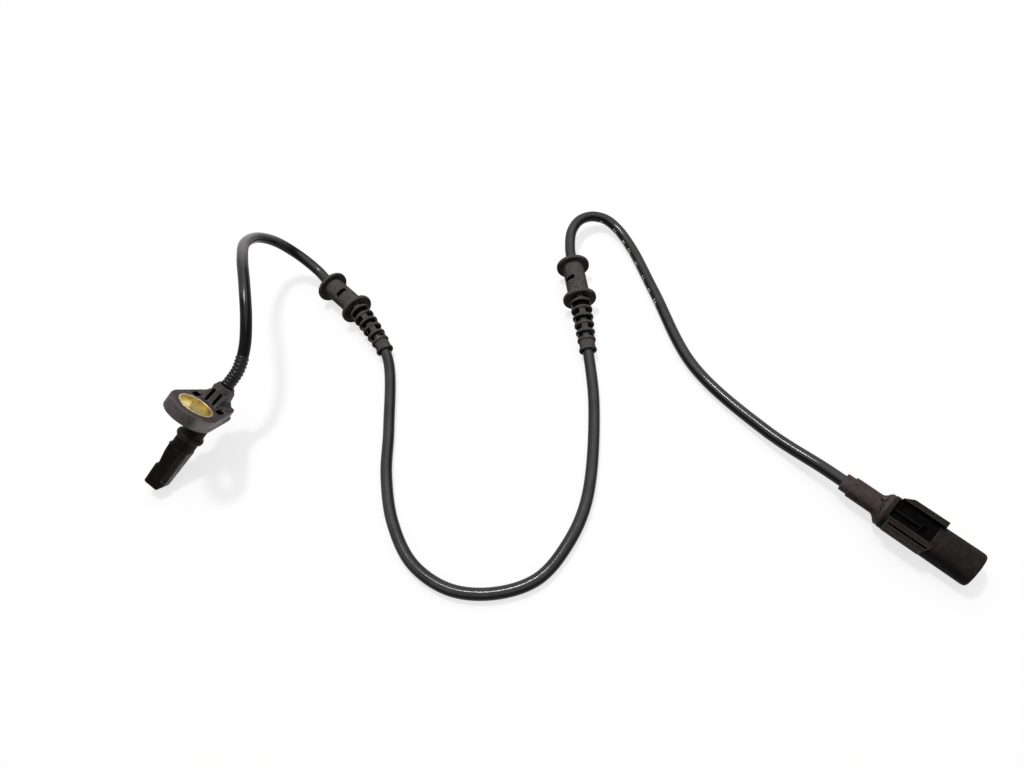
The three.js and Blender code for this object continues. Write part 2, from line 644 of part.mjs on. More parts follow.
// A grommet: two flanges that grip a bulkhead's edge, and a tapered tail of thin rings. Bars join
// the rings in turn at both sides, then above and below, so the windows between them are staggered.
function straightGrommet(slotTurn) {
  const half = GROMMET_FLANGE_THICKNESS / 2;
  const tailStart = GROMMET_SPACING + half;
  const flangeRim = (z) => [
    [GROMMET_FLANGE - 0.5, z - half],
    [GROMMET_FLANGE, z - half + 0.5],
    [GROMMET_FLANGE, z + half - 0.5],
    [GROMMET_FLANGE - 0.5, z + half],
  ];
  const body = turned([
    [0, -half - GROMMET_NECK_LENGTH],
    [GROMMET_NECK - 0.3, -half - GROMMET_NECK_LENGTH],
    [GROMMET_NECK + 0.4, -half],
    ...flangeRim(0),
    [GROMMET_BARREL + 0.4, half],
    [GROMMET_BARREL, half + 0.6],
    [GROMMET_BARREL, GROMMET_SPACING - half - 0.6],
    [GROMMET_BARREL + 0.4, GROMMET_SPACING - half],
    ...flangeRim(GROMMET_SPACING),
    [0, tailStart],
  ], GROMMET_SIDES);
  const tail = [];
  let below = tailStart;
  for (let i = 0; i < TAIL_RINGS; i++) {
    const last = i === TAIL_RINGS - 1;
    const share = i / (TAIL_RINGS - 1);
    const radius = THREE.MathUtils.lerp(TAIL_RING_FIRST, TAIL_RING_LAST, share);
    const spread = last ? TAIL_END_PITCH - TAIL_PITCH : 0;
    const middle = tailStart + TAIL_START + i * TAIL_PITCH + spread;
    const low = middle - TAIL_RING_THICKNESS / 2;
    const high = middle + TAIL_RING_THICKNESS / 2;
    tail.push(turned([
      [0, low], [radius - 0.4, low], [radius, low + 0.4],
      [radius, high - 0.4], [radius - 0.4, high], [0, high],
    ], GROMMET_SIDES));
    const inner = radius - TAIL_VALLEY;
    if (last) {
      tail.push(rod(inner, below - 0.3, low + 0.3, GROMMET_SIDES));
    } else {
      const bar = new THREE.BoxGeometry(2 * inner, TAIL_BAR_WIDTH, low - below + 0.6);
      bar.translate(0, 0, (low + below) / 2);
      tail.push(solid(bar.rotateZ(i % 2 ? 0 : Math.PI / 2)));
    }
    below = high;
  }
  const slot = block(
    [-SLOT_WIDTH / 2, GROMMET_BARREL - SLOT_DEPTH, GROMMET_SPACING / 2 - SLOT_HEIGHT / 2],
    [SLOT_WIDTH / 2, GROMMET_BARREL + 1, GROMMET_SPACING / 2 + SLOT_HEIGHT / 2],
  ).rotate([0, 0, slotTurn]);
  return cut(join(body, ...tail), slot);
}

function grommet(station, direction, slotTurn) {
  return bentAlongRoute(straightGrommet(slotTurn), station, direction).subtract(jacketSpace);
}

// Connector, in its own frame: Z runs from the cable to the mouth, and the latch side is +Y.
function rearMoulding() {
  const shoulderStart = REAR_START + REAR_NECK_LENGTH;
  const body = turned([
    [0, REAR_START],
    [REAR_NECK_RADIUS - 0.4, REAR_START],
    [REAR_NECK_RADIUS, REAR_START + 0.5],
    [REAR_NECK_RADIUS, shoulderStart],
    [REAR_NECK_RADIUS + 0.7, shoulderStart + SHOULDER_LENGTH * 0.3],
    [SHOULDER_RADIUS - 0.5, shoulderStart + SHOULDER_LENGTH * 0.65],
    [SHOULDER_RADIUS, shoulderStart + SHOULDER_LENGTH * 0.8],
    [SHOULDER_RADIUS, REAR_FACE],
    [REAR_SPIGOT_RADIUS, REAR_FACE],
    [REAR_SPIGOT_RADIUS, REAR_FACE + REAR_SPIGOT_LENGTH],
    [0, REAR_FACE + REAR_SPIGOT_LENGTH],
  ]);
  const wireWay = REAR_FACE + REAR_SPIGOT_LENGTH + 1;
  return cut(
    body,
    rod(CABLE_RADIUS + GAP, REAR_START - 1, JACKET_END + GAP, SMALL_ROUND),
    rod(WIRE_BORE + GAP, JACKET_END, wireWay, SMALL_ROUND),
  );
}

function entryCollar() {
  const ring = turned([
    [0, 0],
    [COLLAR_RADIUS - 0.3, 0],
    [COLLAR_RADIUS, 0.5],
    [COLLAR_RADIUS, COLLAR_LENGTH - 0.5],
    [COLLAR_RADIUS - 0.3, COLLAR_LENGTH],
    [0, COLLAR_LENGTH],
  ], SMALL_ROUND);
  return ring.subtract(rod(CABLE_RADIUS + GAP, -1, COLLAR_LENGTH + 1, SMALL_ROUND));
}

// The guard on the latch side, seen along the axis: a wide deck, a recess and a rail.
const recessSides = [-GUARD_HALF_SPAN + DECK_WIDTH, GUARD_HALF_SPAN - RAIL_WIDTH];

function guardShape() {
  return new THREE.Shape([
    v2(-GUARD_HALF_SPAN, GUARD_BOTTOM),
    v2(GUARD_HALF_SPAN, GUARD_BOTTOM),
    v2(GUARD_HALF_SPAN, RAIL_TOP - 0.5),
    v2(GUARD_HALF_SPAN - 0.5, RAIL_TOP),
    v2(recessSides[1], RAIL_TOP),
    v2(recessSides[1], RECESS_FLOOR),
    v2(recessSides[0], RECESS_FLOOR),
    v2(recessSides[0], DECK_TOP),
    v2(-GUARD_HALF_SPAN + 0.5, DECK_TOP),
    v2(-GUARD_HALF_SPAN, DECK_TOP - 0.5),
  ]);
}

function connectorHousing() {
  const barrel = turned([
    [0, HOUSING_START],
    [BARREL_RADIUS - 0.3, HOUSING_START],
    [BARREL_RADIUS, HOUSING_START + 0.4],
    [BARREL_RADIUS, MOUTH - BARREL_EDGE],
    [BARREL_RADIUS - BARREL_EDGE * 0.3, MOUTH - BARREL_EDGE * 0.3],
    [BARREL_RADIUS - BARREL_EDGE, MOUTH],
    [0, MOUTH],
  ]);
  const guardStart = HOUSING_START + GUARD_START;
  const guardEnd = guardStart + GUARD_LENGTH;
  const railCorner = crossCut([
    [GUARD_HALF_SPAN - RAIL_CORNER_WIDTH, guardStart],
    [GUARD_HALF_SPAN, guardStart + RAIL_CORNER_LENGTH],
    [GUARD_HALF_SPAN + 1, guardStart + RAIL_CORNER_LENGTH],
    [GUARD_HALF_SPAN + 1, guardStart - 1],
    [GUARD_HALF_SPAN - RAIL_CORNER_WIDTH, guardStart - 1],
  ], RAIL_TOP + 1);
  const deckSlant = crossCut([
    [-GUARD_HALF_SPAN, guardEnd - DECK_SLANT_LENGTH],
    [-GUARD_HALF_SPAN + DECK_SLANT_WIDTH, guardEnd],
    [-GUARD_HALF_SPAN + DECK_SLANT_WIDTH, guardEnd + 1],
    [-GUARD_HALF_SPAN - 1, guardEnd + 1],
    [-GUARD_HALF_SPAN - 1, guardEnd - DECK_SLANT_LENGTH],
  ], RAIL_TOP + 1);
  const guard = cut(plate(guardShape(), guardStart, guardEnd), railCorner, deckSlant);
  const recessStart = HOUSING_START + RECESS_MARGIN;
  const recessEnd = guardEnd - RECESS_MARGIN;
  const recess = block(
    [recessSides[0], RECESS_FLOOR, recessStart],
    [recessSides[1], RAIL_TOP + 1, recessEnd],
  );
  const latchRib = block(
    [LATCH_RIB_X - LATCH_RIB_WIDTH / 2, RECESS_FLOOR - 0.5, recessStart - 0.5],
    [LATCH_RIB_X + LATCH_RIB_WIDTH / 2, LATCH_RIB_TOP, recessStart + LATCH_RIB_LENGTH],
  );
  const noseStart = recessStart + LATCH_RIB_LENGTH - 0.5;
  const noseProfile = new THREE.Shape([
    v2(RECESS_FLOOR - 0.5, noseStart), v2(LATCH_RIB_TOP, noseStart),
    v2(RECESS_FLOOR, noseStart + LATCH_NOSE_LENGTH),
    v2(RECESS_FLOOR - 0.5, noseStart + LATCH_NOSE_LENGTH),
  ]);
  const nose = new THREE.ExtrudeGeometry(noseProfile, {
    depth: LATCH_NOSE_WIDTH,
    bevelEnabled: false,
  });
  nose.applyMatrix4(new THREE.Matrix4().makeBasis(v3(0, 1, 0), v3(0, 0, 1), v3(1, 0, 0)));
  nose.translate(LATCH_RIB_X - LATCH_NOSE_WIDTH / 2, 0, 0);
  const lineX = -GUARD_HALF_SPAN + DECK_LINE_X;
  const deckLine = block(
    [lineX - DECK_LINE_WIDTH / 2, DECK_TOP - DECK_LINE_DEPTH, guardStart + 1],
    [lineX + DECK_LINE_WIDTH / 2, DECK_TOP + 1, guardEnd - DECK_SLANT_LENGTH / 2],
  );
  const web = HOUSING_START + REAR_CAVITY_DEPTH;
  const pinHoles = [-PIN_SPREAD, PIN_SPREAD].map((x) =>
    rod(PIN_BODY_RADIUS + GAP, web - 1, MOUTH - SOCKET_DEPTH + 1, SMALL_ROUND, x));
  return cut(
    join(cut(join(barrel, guard), recess), latchRib, solid(nose)),
    deckLine,
    rod(REAR_SPIGOT_RADIUS + GAP, HOUSING_START - 1, web),
    rod(SOCKET_RADIUS, MOUTH - SOCKET_DEPTH, MOUTH + 1),
    ...pinHoles,
  );
}

const terminalStart = HOUSING_START + TERMINAL_START;

function terminal(side) {
  const crimpEnd = terminalStart + TERMINAL_CRIMP_LENGTH;
  const bodyEnd = crimpEnd + PIN_BODY_LENGTH;
  const pinEnd = bodyEnd + PIN_LENGTH;
  const body = turned([
    [0, terminalStart],
    [TERMINAL_CRIMP_RADIUS, terminalStart],
    [TERMINAL_CRIMP_RADIUS, crimpEnd],
    [PIN_BODY_RADIUS, crimpEnd + 0.4],
    [PIN_BODY_RADIUS, bodyEnd],
    [PIN_RADIUS, bodyEnd + 0.3],
    [PIN_RADIUS, pinEnd - 0.8],
    [PIN_RADIUS * 0.4, pinEnd],
    [0, pinEnd],
  ], SMALL_ROUND);
  const socket = rod(CORE_RADIUS + GAP, terminalStart - 1, crimpEnd - 0.6, SMALL_ROUND);
  return solid(geometryOf(body.subtract(socket)).translate(side * PIN_SPREAD, 0, 0));
}

function terminalLock() {
  const start = MOUTH - SOCKET_DEPTH + GAP;
  const disc = rod(SOCKET_RADIUS - GAP, start, start + LOCK_THICKNESS);
  const holes = [-PIN_SPREAD, PIN_SPREAD].map((x) =>
    rod(PIN_RADIUS + GAP, start - 1, start + LOCK_THICKNESS + 1, SMALL_ROUND, x));
  return cut(disc, ...holes);
}

function connectorCore(side) {
  const points = [
    [CORE_SPREAD, JACKET_END + GAP],
    [CORE_SPREAD, JACKET_END + 6],
    [CORE_SPREAD, REAR_FACE],
    [CORE_SPREAD + 0.3, REAR_FACE + REAR_SPIGOT_LENGTH - 1],
    [PIN_SPREAD, terminalStart - 0.3],
    [PIN_SPREAD, terminalStart + 1],
    [PIN_SPREAD, terminalStart + TERMINAL_CRIMP_LENGTH - 1.2],
  ];
  const curve = new THREE.CatmullRomCurve3(
    points.map(([x, z]) => v3(side * x, 0, z)), false, "centripetal");
  return swept(curve, CORE_RADIUS, CORE_SIDES, 16);
}

function connector() {
  const end = v3(...ROUTE.at(-1));
  const group = new THREE.Group();
  group.applyMatrix4(
    new THREE.Matrix4().makeBasis(v3(0, 1, 0), v3(0, 0, 1), v3(1, 0, 0))
      .multiply(new THREE.Matrix4().makeRotationZ(radians(CONNECTOR_ROLL)))
      .setPosition(end.x - JACKET_END, end.y, end.z),
  );
  group.add(
    part("connector_entry_collar", entryCollar(), rubber),
    part("connector_rear_moulding", rearMoulding(), connectorPlastic),
    part("connector_housing", connectorHousing(), connectorPlastic),
    part("terminal_lock", terminalLock(), lockPlastic),
    part("terminal_supply", terminal(1), tinnedCopper),
    part("terminal_signal", terminal(-1), tinnedCopper),
    part("connector_core_supply", connectorCore(1), supplyInsulation),
    part("connector_core_signal", connectorCore(-1), signalInsulation),
  );
  return group;
}

const sensor = new THREE.Group();
sensor.name = "wheel_speed_sensor";
sensor.add(
  head(),
  part("head_core_supply", headCore(1), supplyInsulation),
  part("head_core_signal", headCore(-1), signalInsulation),
  part("head_strain_relief", headStrainRelief(), rubber),
  part("cable_jacket", jacket, jacketPlastic),
  part("grommet_front", grommet(FRONT_GROMMET_STATION, 1, FRONT_SLOT_TURN), rubber),
  part("grommet_rear", grommet(REAR_GROMMET_STATION, -1, REAR_SLOT_TURN), rubber),
  connector(),
);

export default sensor;
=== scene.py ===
"""The looks of a wheel speed sensor: detailed pieces, finishes, floor, lamps and camera.

Blender's units are metres. Sizes are written in millimetres and MM turns them into metres.
"""

import math
from bisect import bisect_right

import bmesh
import bpy
from mathutils import Matrix, Vector, noise


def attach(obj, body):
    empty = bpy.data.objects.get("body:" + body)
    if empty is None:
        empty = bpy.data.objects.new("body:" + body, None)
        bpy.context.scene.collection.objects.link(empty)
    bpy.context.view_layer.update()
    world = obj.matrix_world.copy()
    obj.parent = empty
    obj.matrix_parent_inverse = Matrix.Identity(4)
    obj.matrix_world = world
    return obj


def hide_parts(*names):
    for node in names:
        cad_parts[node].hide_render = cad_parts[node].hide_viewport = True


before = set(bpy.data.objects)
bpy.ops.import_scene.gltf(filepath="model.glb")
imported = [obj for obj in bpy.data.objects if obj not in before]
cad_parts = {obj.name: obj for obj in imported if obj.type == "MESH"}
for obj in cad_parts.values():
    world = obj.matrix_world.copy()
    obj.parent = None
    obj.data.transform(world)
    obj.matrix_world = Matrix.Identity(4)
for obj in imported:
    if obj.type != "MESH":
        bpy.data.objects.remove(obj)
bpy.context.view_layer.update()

MM = 0.001
GAP = 0.3  # mm between two pieces that meet
OVERLAP = 0.3  # mm that joined forms reach into each other
CUTTER_REACH = 1.0  # mm that a cutter runs past the faces it opens
SIDEWAYS = Matrix(((0, 0, 1), (1, 0, 0), (0, 1, 0))).to_4x4()  # takes Z to X, X to Y and Y to Z

# The cable's centreline, from the top of the head's neck to inside the connector.
ROUTE = [Vector([value * MM for value in point]) for point in (
    (-3.5, 18, 29), (-3.2, 25.3, 33), (-7.2, 33.3, 37), (-14.2, 41.3, 42), (-27.2, 51.3, 46),
    (-40.2, 59.3, 46), (-51.2, 66.3, 42), (-59.2, 75.3, 33), (-59.7, 82.3, 24), (-53.7, 87.3, 15),
    (-42.2, 89.3, 9.4), (-31.2, 88.3, 7.9), (-11.2, 87.3, 7.9), (5.8, 84.3, 6.4), (20.8, 79.3, 4),
    (47.8, 56.3, 2.7), (64.8, 40.3, 2.7), (82.8, 28.3, 2.7), (101.8, 22.3, 2.7), (119.8, 25.3, 2.7),
    (133.8, 36.3, 2.7), (141.8, 51.3, 2.7), (140.8, 69.3, 2.7), (133.8, 88.3, 2.7), (107.8, 122.3, 2.8),
    (87.8, 141.3, 4.8), (66.8, 159.3, 7.9), (50.8, 172.3, 7.9), (42.3, 179.8, 8.4), (36.3, 187.8, 9.1),
    (34.3, 195.8, 8.8), (36.3, 202.3, 7.6), (41.8, 206.3, 6), (49.8, 206.3, 4.4), (62.8, 201.8, 2.8),
    (87.8, 187.8, 2.7), (126.8, 166.3, 2.8), (168.8, 159.3, 4), (195.8, 158.3, 7), (209, 158.3, 7),
)]
ROUTE_STEPS = 60
FRONT_GROMMET_STATION = 0.1402  # metres along the cable
REAR_GROMMET_STATION = 0.5037


# Route

def catmull_rom(points, steps):
    """Points of a centripetal Catmull-Rom curve through the given points."""
    points = [2 * points[0] - points[1], *points, 2 * points[-1] - points[-2]]
    line = []
    for p0, p1, p2, p3 in zip(points, points[1:], points[2:], points[3:]):
        d0, d1, d2 = (math.sqrt((b - a).length) for a, b in ((p0, p1), (p1, p2), (p2, p3)))
        start = ((p1 - p0) / d0 - (p2 - p0) / (d0 + d1) + (p2 - p1) / d1) * d1
        end = ((p2 - p1) / d1 - (p3 - p1) / (d1 + d2) + (p3 - p2) / d2) * d1
        for i in range(steps):
            t = i / steps
            line.append(
                p1 + start * t + (3 * (p2 - p1) - 2 * start - end) * t**2
                + (2 * (p1 - p2) + start + end) * t**3)
    return [*line, points[-2]]


class Route:
    """The cable's centreline, with places on it by their length along it in metres."""

    def __init__(self, points):
        self.line = catmull_rom(points, ROUTE_STEPS)
        self.lengths = [0.0]
        for a, b in zip(self.line, self.line[1:]):
            self.lengths.append(self.lengths[-1] + (b - a).length)
        self.length = self.lengths[-1]

    def place(self, along):
        i = min(bisect_right(self.lengths, along), len(self.line) - 1) - 1
        share = (along - self.lengths[i]) / (self.lengths[i + 1] - self.lengths[i])
        return self.line[i].lerp(self.line[i + 1], share)

    def tangent(self, along):
        reach = 0.3 * MM
        ahead = self.place(min(along + reach, self.length))
        behind = self.place(max(along - reach, 0))
        return (ahead - behind).normalized()

    def frame_at(self, along, direction=1):
        """Axes at a place: z along the cable, y up, x across. Past an end the route goes straight."""
        on_route = min(max(along, 0), self.length)
        forward = self.tangent(on_route)
        place = self.place(on_route) + forward * (along - on_route)
        forward *= direction
        up = (Vector((0, 0, 1)) - forward * forward.z).normalized()
        across = up.cross(forward)
        axes = Matrix((across, up, forward)).transposed().to_4x4()
        return Matrix.Translation(place) @ axes


route = Route(ROUTE)


# Mesh making, in millimetres

def rotation(axis, degrees):
    return Matrix.Rotation(math.radians(degrees), 4, axis)


def new_object(name, data):
    item = bpy.data.objects.new(name, data)
    bpy.context.scene.collection.objects.link(item)
    return item


def built(vertices, faces):
    """A closed mesh object from points and faces, with its faces turned outwards."""
    mesh = bpy.data.meshes.new("solid")
    mesh.from_pydata([tuple(v) for v in vertices], [], faces)
    work = bmesh.new()
    work.from_mesh(mesh)
    bmesh.ops.recalc_face_normals(work, faces=work.faces)
    work.to_mesh(mesh)
    work.free()
    return new_object("solid", mesh)


def circle(radius, sides):
    """The points of a circle, from +X round to it."""
    angles = [2 * math.pi * i / sides for i in range(sides)]
    return [(radius * math.cos(angle), radius * math.sin(angle)) for angle in angles]


def rounded(points, radius, steps=4, closed=False):
    """A line of (u, v) points with its corners rounded. radius is one size, or one for each point."""
    points = [Vector(p) for p in points]
    radii = radius if isinstance(radius, (list, tuple)) else [radius] * len(points)
    line = []
    for i, (corner, size) in enumerate(zip(points, radii)):
        if size == 0 or (not closed and i in (0, len(points) - 1)):
            line.append(tuple(corner))
            continue
        before, after = points[i - 1] - corner, points[(i + 1) % len(points)] - corner
        reach = min(size, 0.48 * before.length, 0.48 * after.length)
        start = corner + before.normalized() * reach
        end = corner + after.normalized() * reach
        for k in range(steps + 1):
            t = k / steps
            line.append(tuple(start * (1 - t) ** 2 + corner * 2 * t * (1 - t) + end * t**2))
    return line


def band(low, high):
    """The faces between two rings of points. One of them may be a single point."""
    sides = max(len(low), len(high))
    faces = []
    for i in range(sides):
        j = (i + 1) % sides
        if len(low) == 1:
            faces.append((low[0], high[j], high[i]))
        elif len(high) == 1:
            faces.append((low[i], low[j], high[0]))
        else:
            faces.append((low[i], low[j], high[j], high[i]))
    return faces


def turned(profile, sides=96, closed=False):
    """A profile of (radius, z) points turned about Z. Where closed, it is a ring's section."""
    vertices, rings = [], []
    for radius, z in profile:
        points = circle(radius, sides) if radius > 1e-6 else [(0, 0)]
        rings.append(range(len(vertices), len(vertices) + len(points)))
        vertices += [(x, y, z) for x, y in points]
    pairs = list(zip(rings, rings[1:])) + ([(rings[-1], rings[0])] if closed else [])
    return built(vertices, [face for low, high in pairs for face in band(low, high)])


def rod(radius, z0, z1, edge=0.0, sides=96, x=0.0, y=0.0):
    profile = [(0, z0), (radius, z0), (radius, z1), (0, z1)]
    piece = turned(rounded(profile, [0, edge, edge, 0]) if edge else profile, sides)
    piece.data.transform(Matrix.Translation((x, y, 0)))
    return piece


def slab(outline, z0, z1, edge=0.0):
    """An outline in XY pulled up from z0 to z1, with rounded edges at both ends."""
    count = len(outline)
    vertices = [(x, y, z) for z in (z0, z1) for x, y in outline]
    low, high = range(count), range(count, 2 * count)
    piece = built(vertices, [tuple(low)[::-1], tuple(high), *band(low, high)])
    if edge:
        work = bmesh.new()
        work.from_mesh(piece.data)
        rims = [e for e in work.edges if abs(e.verts[0].co.z - e.verts[1].co.z) < 1e-6]
        bmesh.ops.bevel(
            work, geom=rims, offset=edge, segments=3, profile=0.5, affect="EDGES",
            clamp_overlap=True)
        work.to_mesh(piece.data)
        work.free()
    return piece


def about(middle, width):
    return middle - width / 2, middle + width / 2


def block(x_span, y_span, z_span):
    (x0, x1), (y0, y1) = x_span, y_span
    return slab([(x0, y0), (x1, y0), (x1, y1), (x0, y1)], *z_span)


def moved(piece, matrix):
    piece.data.transform(matrix)
    return piece


def settled(piece):
    """Applies the piece's modifiers to its mesh."""
    graph = bpy.context.evaluated_depsgraph_get()
    mesh = bpy.data.meshes.new_from_object(piece.evaluated_get(graph))
    piece.modifiers.clear()
    piece.data = mesh
    return piece


def combined(base, operation, tools):
    for tool in tools:
        step = base.modifiers.new("combine", "BOOLEAN")
        step.operation = operation
        step.solver = "EXACT"
        step.object = tool
    settled(base)
    for tool in tools:
        bpy.data.objects.remove(tool)
    return base


def joined(base, *others):
    return combined(base, "UNION", others)


def cut(base, *tools):
    return combined(base, "DIFFERENCE", tools)


def softened(piece, voxel):
    """Remeshes a moulding finely, so that its corners get the small radii of a real one."""
    remesh = piece.modifiers.new("remesh", "REMESH")
    remesh.mode = "VOXEL"
    remesh.voxel_size = voxel
    smooth = piece.modifiers.new("smooth", "SMOOTH")
    smooth.factor = 0.5
    smooth.iterations = 3
    return settled(piece)


def bent(piece, start, direction=1):
    """Bends a straight piece, whose z is a length in mm, along the cable from a place in metres."""
    for vertex in piece.data.vertices:
        x, y, z = vertex.co
        at = route.frame_at(start + direction * z * MM, direction)
        vertex.co = at @ Vector((x * MM, y * MM, 0))
    piece.data.update()
    return piece


def finished(piece, name, look, replaces, sharp=None):
    """Names a piece, gives it its look and rides it on the frame. sharp is an angle in degrees."""
    piece.name = name
    piece.data.name = name
    piece.data.shade_smooth()
    if sharp:
        piece.data.set_sharp_from_angle(angle=math.radians(sharp))
    piece.data.materials.clear()
    piece.data.materials.append(look)
    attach(piece, "root")
    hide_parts(*replaces)
    return piece


def paint(piece, look, chosen):
    """Gives a second look to the faces whose place in the list is true."""
    piece.data.materials.append(look)
    for face, inside in zip(piece.data.polygons, chosen):
        face.material_index = int(inside)


# Looks

class Look:
    """A procedural material: a Principled shader and the nodes that feed it."""

    def __init__(self, name, roughness=0.5, metallic=0.0, specular=0.5):
        self.material = bpy.data.materials.new(name)
        self.material.use_nodes = True
        self.tree = self.material.node_tree
        self.shader = self.tree.nodes["Principled BSDF"]
        values = {"Roughness": roughness, "Metallic": metallic, "Specular IOR Level": specular}
        for name, value in values.items():
            self.shader.inputs[name].default_value = value
        self.place = self.node("TexCoord").outputs["Object"]
        self.geometry = self.node("NewGeometry")

    def node(self, kind, **values):
        """A new node. Each value goes to the input of its name, which has spaces for underscores."""
        node = self.tree.nodes.new("ShaderNode" + kind)
        for name, value in values.items():
            node.inputs[name.replace("_", " ")].default_value = value
        return node

    def link(self, source, socket):
        self.tree.links.new(source, socket)

    def noise(self, size, detail, roughness):
        """Noise from 0 to 1 whose features are size mm wide."""
        noise = self.node("TexNoise", Scale=1 / (size * MM), Detail=detail, Roughness=roughness)
        self.link(self.place, noise.inputs["Vector"])
        return noise.outputs["Fac"]

    def ramp(self, source, low, high, to_low=0.0, to_high=1.0):
        """Maps a value from low..high to to_low..to_high, held at both ends."""
        ramp = self.node("MapRange", From_Min=low, From_Max=high, To_Min=to_low, To_Max=to_high)
        ramp.interpolation_type = "SMOOTHSTEP"
        self.link(source, ramp.inputs["Value"])
        return ramp.outputs["Result"]

    def product(self, first, *others):
        """Multiplies a node's output by numbers and other nodes' outputs."""
        for other in others:
            node = self.node("Math")
            node.operation = "MULTIPLY"
            self.link(first, node.inputs[0])
            if isinstance(other, float):
                node.inputs[1].default_value = other
            else:
                self.link(other, node.inputs[1])
            first = node.outputs["Value"]
        return first

    def mix(self, factor, first, second):
        """Mixes two colours, each a tuple or another node's output."""
        node = self.node("Mix")
        node.data_type = "RGBA"
        self.link(factor, node.inputs["Factor"])
        for name, value in (("A", first), ("B", second)):
            socket = next(s for s in node.inputs if s.name == name and s.type == "RGBA")
            if isinstance(value, tuple):
                socket.default_value = (*value, 1)
            else:
                self.link(value, socket)
        return next(s for s in node.outputs if s.type == "RGBA")

    def measured(self, vector, axis):
        """How far a vector reaches along an axis."""
        node = self.node("VectorMath")
        node.operation = "DOT_PRODUCT"
        self.link(vector, node.inputs[0])
        node.inputs[1].default_value = axis
        return node.outputs["Value"]

    def facing(self, direction, low, high):
        """1 where the surface faces a direction, 0 where it faces away from it."""
        return self.ramp(self.measured(self.geometry.outputs["Normal"], direction), low, high)

    def upward(self, low=0.2, high=0.95):
        return self.facing((0, 0, 1), low, high)

    def beyond(self, axis, low, high):
        """0 where the place along an axis is under low metres, 1 where it is over high metres."""
        return self.ramp(self.measured(self.place, axis), low, high)

    def edges(self):
        return self.ramp(self.geometry.outputs["Pointiness"], 0.505, 0.56)

    def creases(self):
        return self.ramp(self.geometry.outputs["Pointiness"], 0.495, 0.45)

    def colour(self, source):
        self.link(source, self.shader.inputs["Base Color"])

    def roughness(self, noise, low, high):
        """A roughness from low to high, after a noise of the given size, detail and roughness."""
        self.link(self.ramp(self.noise(*noise), 0.3, 0.7, low, high), self.shader.inputs["Roughness"])

    def bump(self, noise, depth):
        """A bump after a noise, depth mm high."""
        bump = self.node("Bump", Distance=depth * MM)
        self.link(self.noise(*noise), bump.inputs["Height"])
        self.link(bump.outputs["Normal"], self.shader.inputs["Normal"])


def moulded_look(name, dark, pale, dust_and_sheen_colour, worn, dust_and_sheen_share, rough, specular):
    """A moulded plastic or rubber with uneven dirt, dust and a painted sheen on its upper faces,
    painted shade in its creases, and worn edges.
    """
    look = Look(name, specular=specular)
    patches = look.ramp(look.noise(3.5, 6.0, 0.65), 0.38, 0.66)
    speckle = look.ramp(look.noise(0.5, 3.0, 0.7), 0.52, 0.74)
    uneven = look.ramp(look.noise(1.6, 6.0, 0.7), 0.25, 0.75, 0.35, 1.0)
    # Upper faces paler: dust, and a painted sheen of the light from above.
    upper_dust_and_sheen = look.product(look.ramp(look.upward(), 0, 1), uneven, dust_and_sheen_share)
    paled_above = look.mix(upper_dust_and_sheen, look.mix(patches, dark, pale), dust_and_sheen_colour)
    specked = look.mix(look.product(speckle, 0.22), paled_above, dust_and_sheen_colour)
    # Creases darker: painted shade.
    painted_crease_shade = look.mix(look.product(look.creases(), 0.75), specked, dark)
    look.colour(look.mix(look.product(look.edges(), 0.6), painted_crease_shade, worn))
    look.roughness((2.2, 5.0, 0.6), *rough)
    look.bump((0.35, 4.0, 0.6), 0.035)
    return look.material


LOOP_WAY = Vector((0.06, 0.88, 0.46)).normalized()  # the way the cable leaves the head


def jacket_look():
    """The glossy black jacket: clean at the head, grey with dust and a painted sheen on top of its
    loop, then a thin grey painted sheen on its upper side.
    """
    look = Look("cable_jacket", specular=0.17)
    patches = look.ramp(look.noise(9.0, 4.0, 0.6), 0.2, 0.7, 0.6, 1.0)
    raised = look.beyond((0, 0, 1), 18 * MM, 30 * MM)
    start = look.product(raised, look.ramp(look.beyond(LOOP_WAY, 57 * MM, 66 * MM), 0, 1, 1, 0))
    top = look.product(raised, look.beyond(LOOP_WAY, 69 * MM, 76 * MM))
    # Upper side grey: a painted sheen of the light from above, nearly left off on the raised stretch
    # next to the head.
    upper_pale = look.product(look.upward(0.62, 0.92), patches, look.ramp(start, 0, 1, 1, 0.1))
    sheened_jacket = look.mix(upper_pale, (0.001, 0.001, 0.001), (0.05, 0.048, 0.05))
    # Upper faces on top of the raised loop paler still: dust and a painted sheen.
    sheened_loop = look.mix(look.product(top, look.upward(0.15, 0.85)), sheened_jacket, (0.15, 0.142, 0.135))
    specks = look.ramp(look.noise(0.45, 2.0, 0.5), 0.66, 0.78)
    look.colour(look.mix(look.product(specks, 0.1), sheened_loop, (0.2, 0.19, 0.18)))
    look.roughness((5.0, 6.0, 0.7), 0.09, 0.16)
    look.bump((2.5, 2.0, 0.4), 0.006)
    return look.material


def print_look():
    """The pale ink of the marks along the cable, rubbed thin in places."""
    look = Look("cable_print", roughness=0.45, specular=0.25)
    side_lit = look.ramp(look.noise(0.8, 4.0, 0.6), 0.35, 0.65)
    look.colour(look.mix(side_lit, (0.6, 0.56, 0.45), (0.22, 0.2, 0.15)))
    return look.material


def brass_look():
    look = Look("brass_bush", metallic=1.0)
    tarnish = look.ramp(look.noise(4.5, 2.5, 0.5), 0.4, 0.62)
    look.colour(look.mix(tarnish, (0.92, 0.76, 0.33), (0.62, 0.43, 0.09)))
    look.roughness((2.0, 3.0, 0.6), 0.22, 0.36)
    look.bump((0.6, 2.0, 0.5), 0.004)
    return look.material


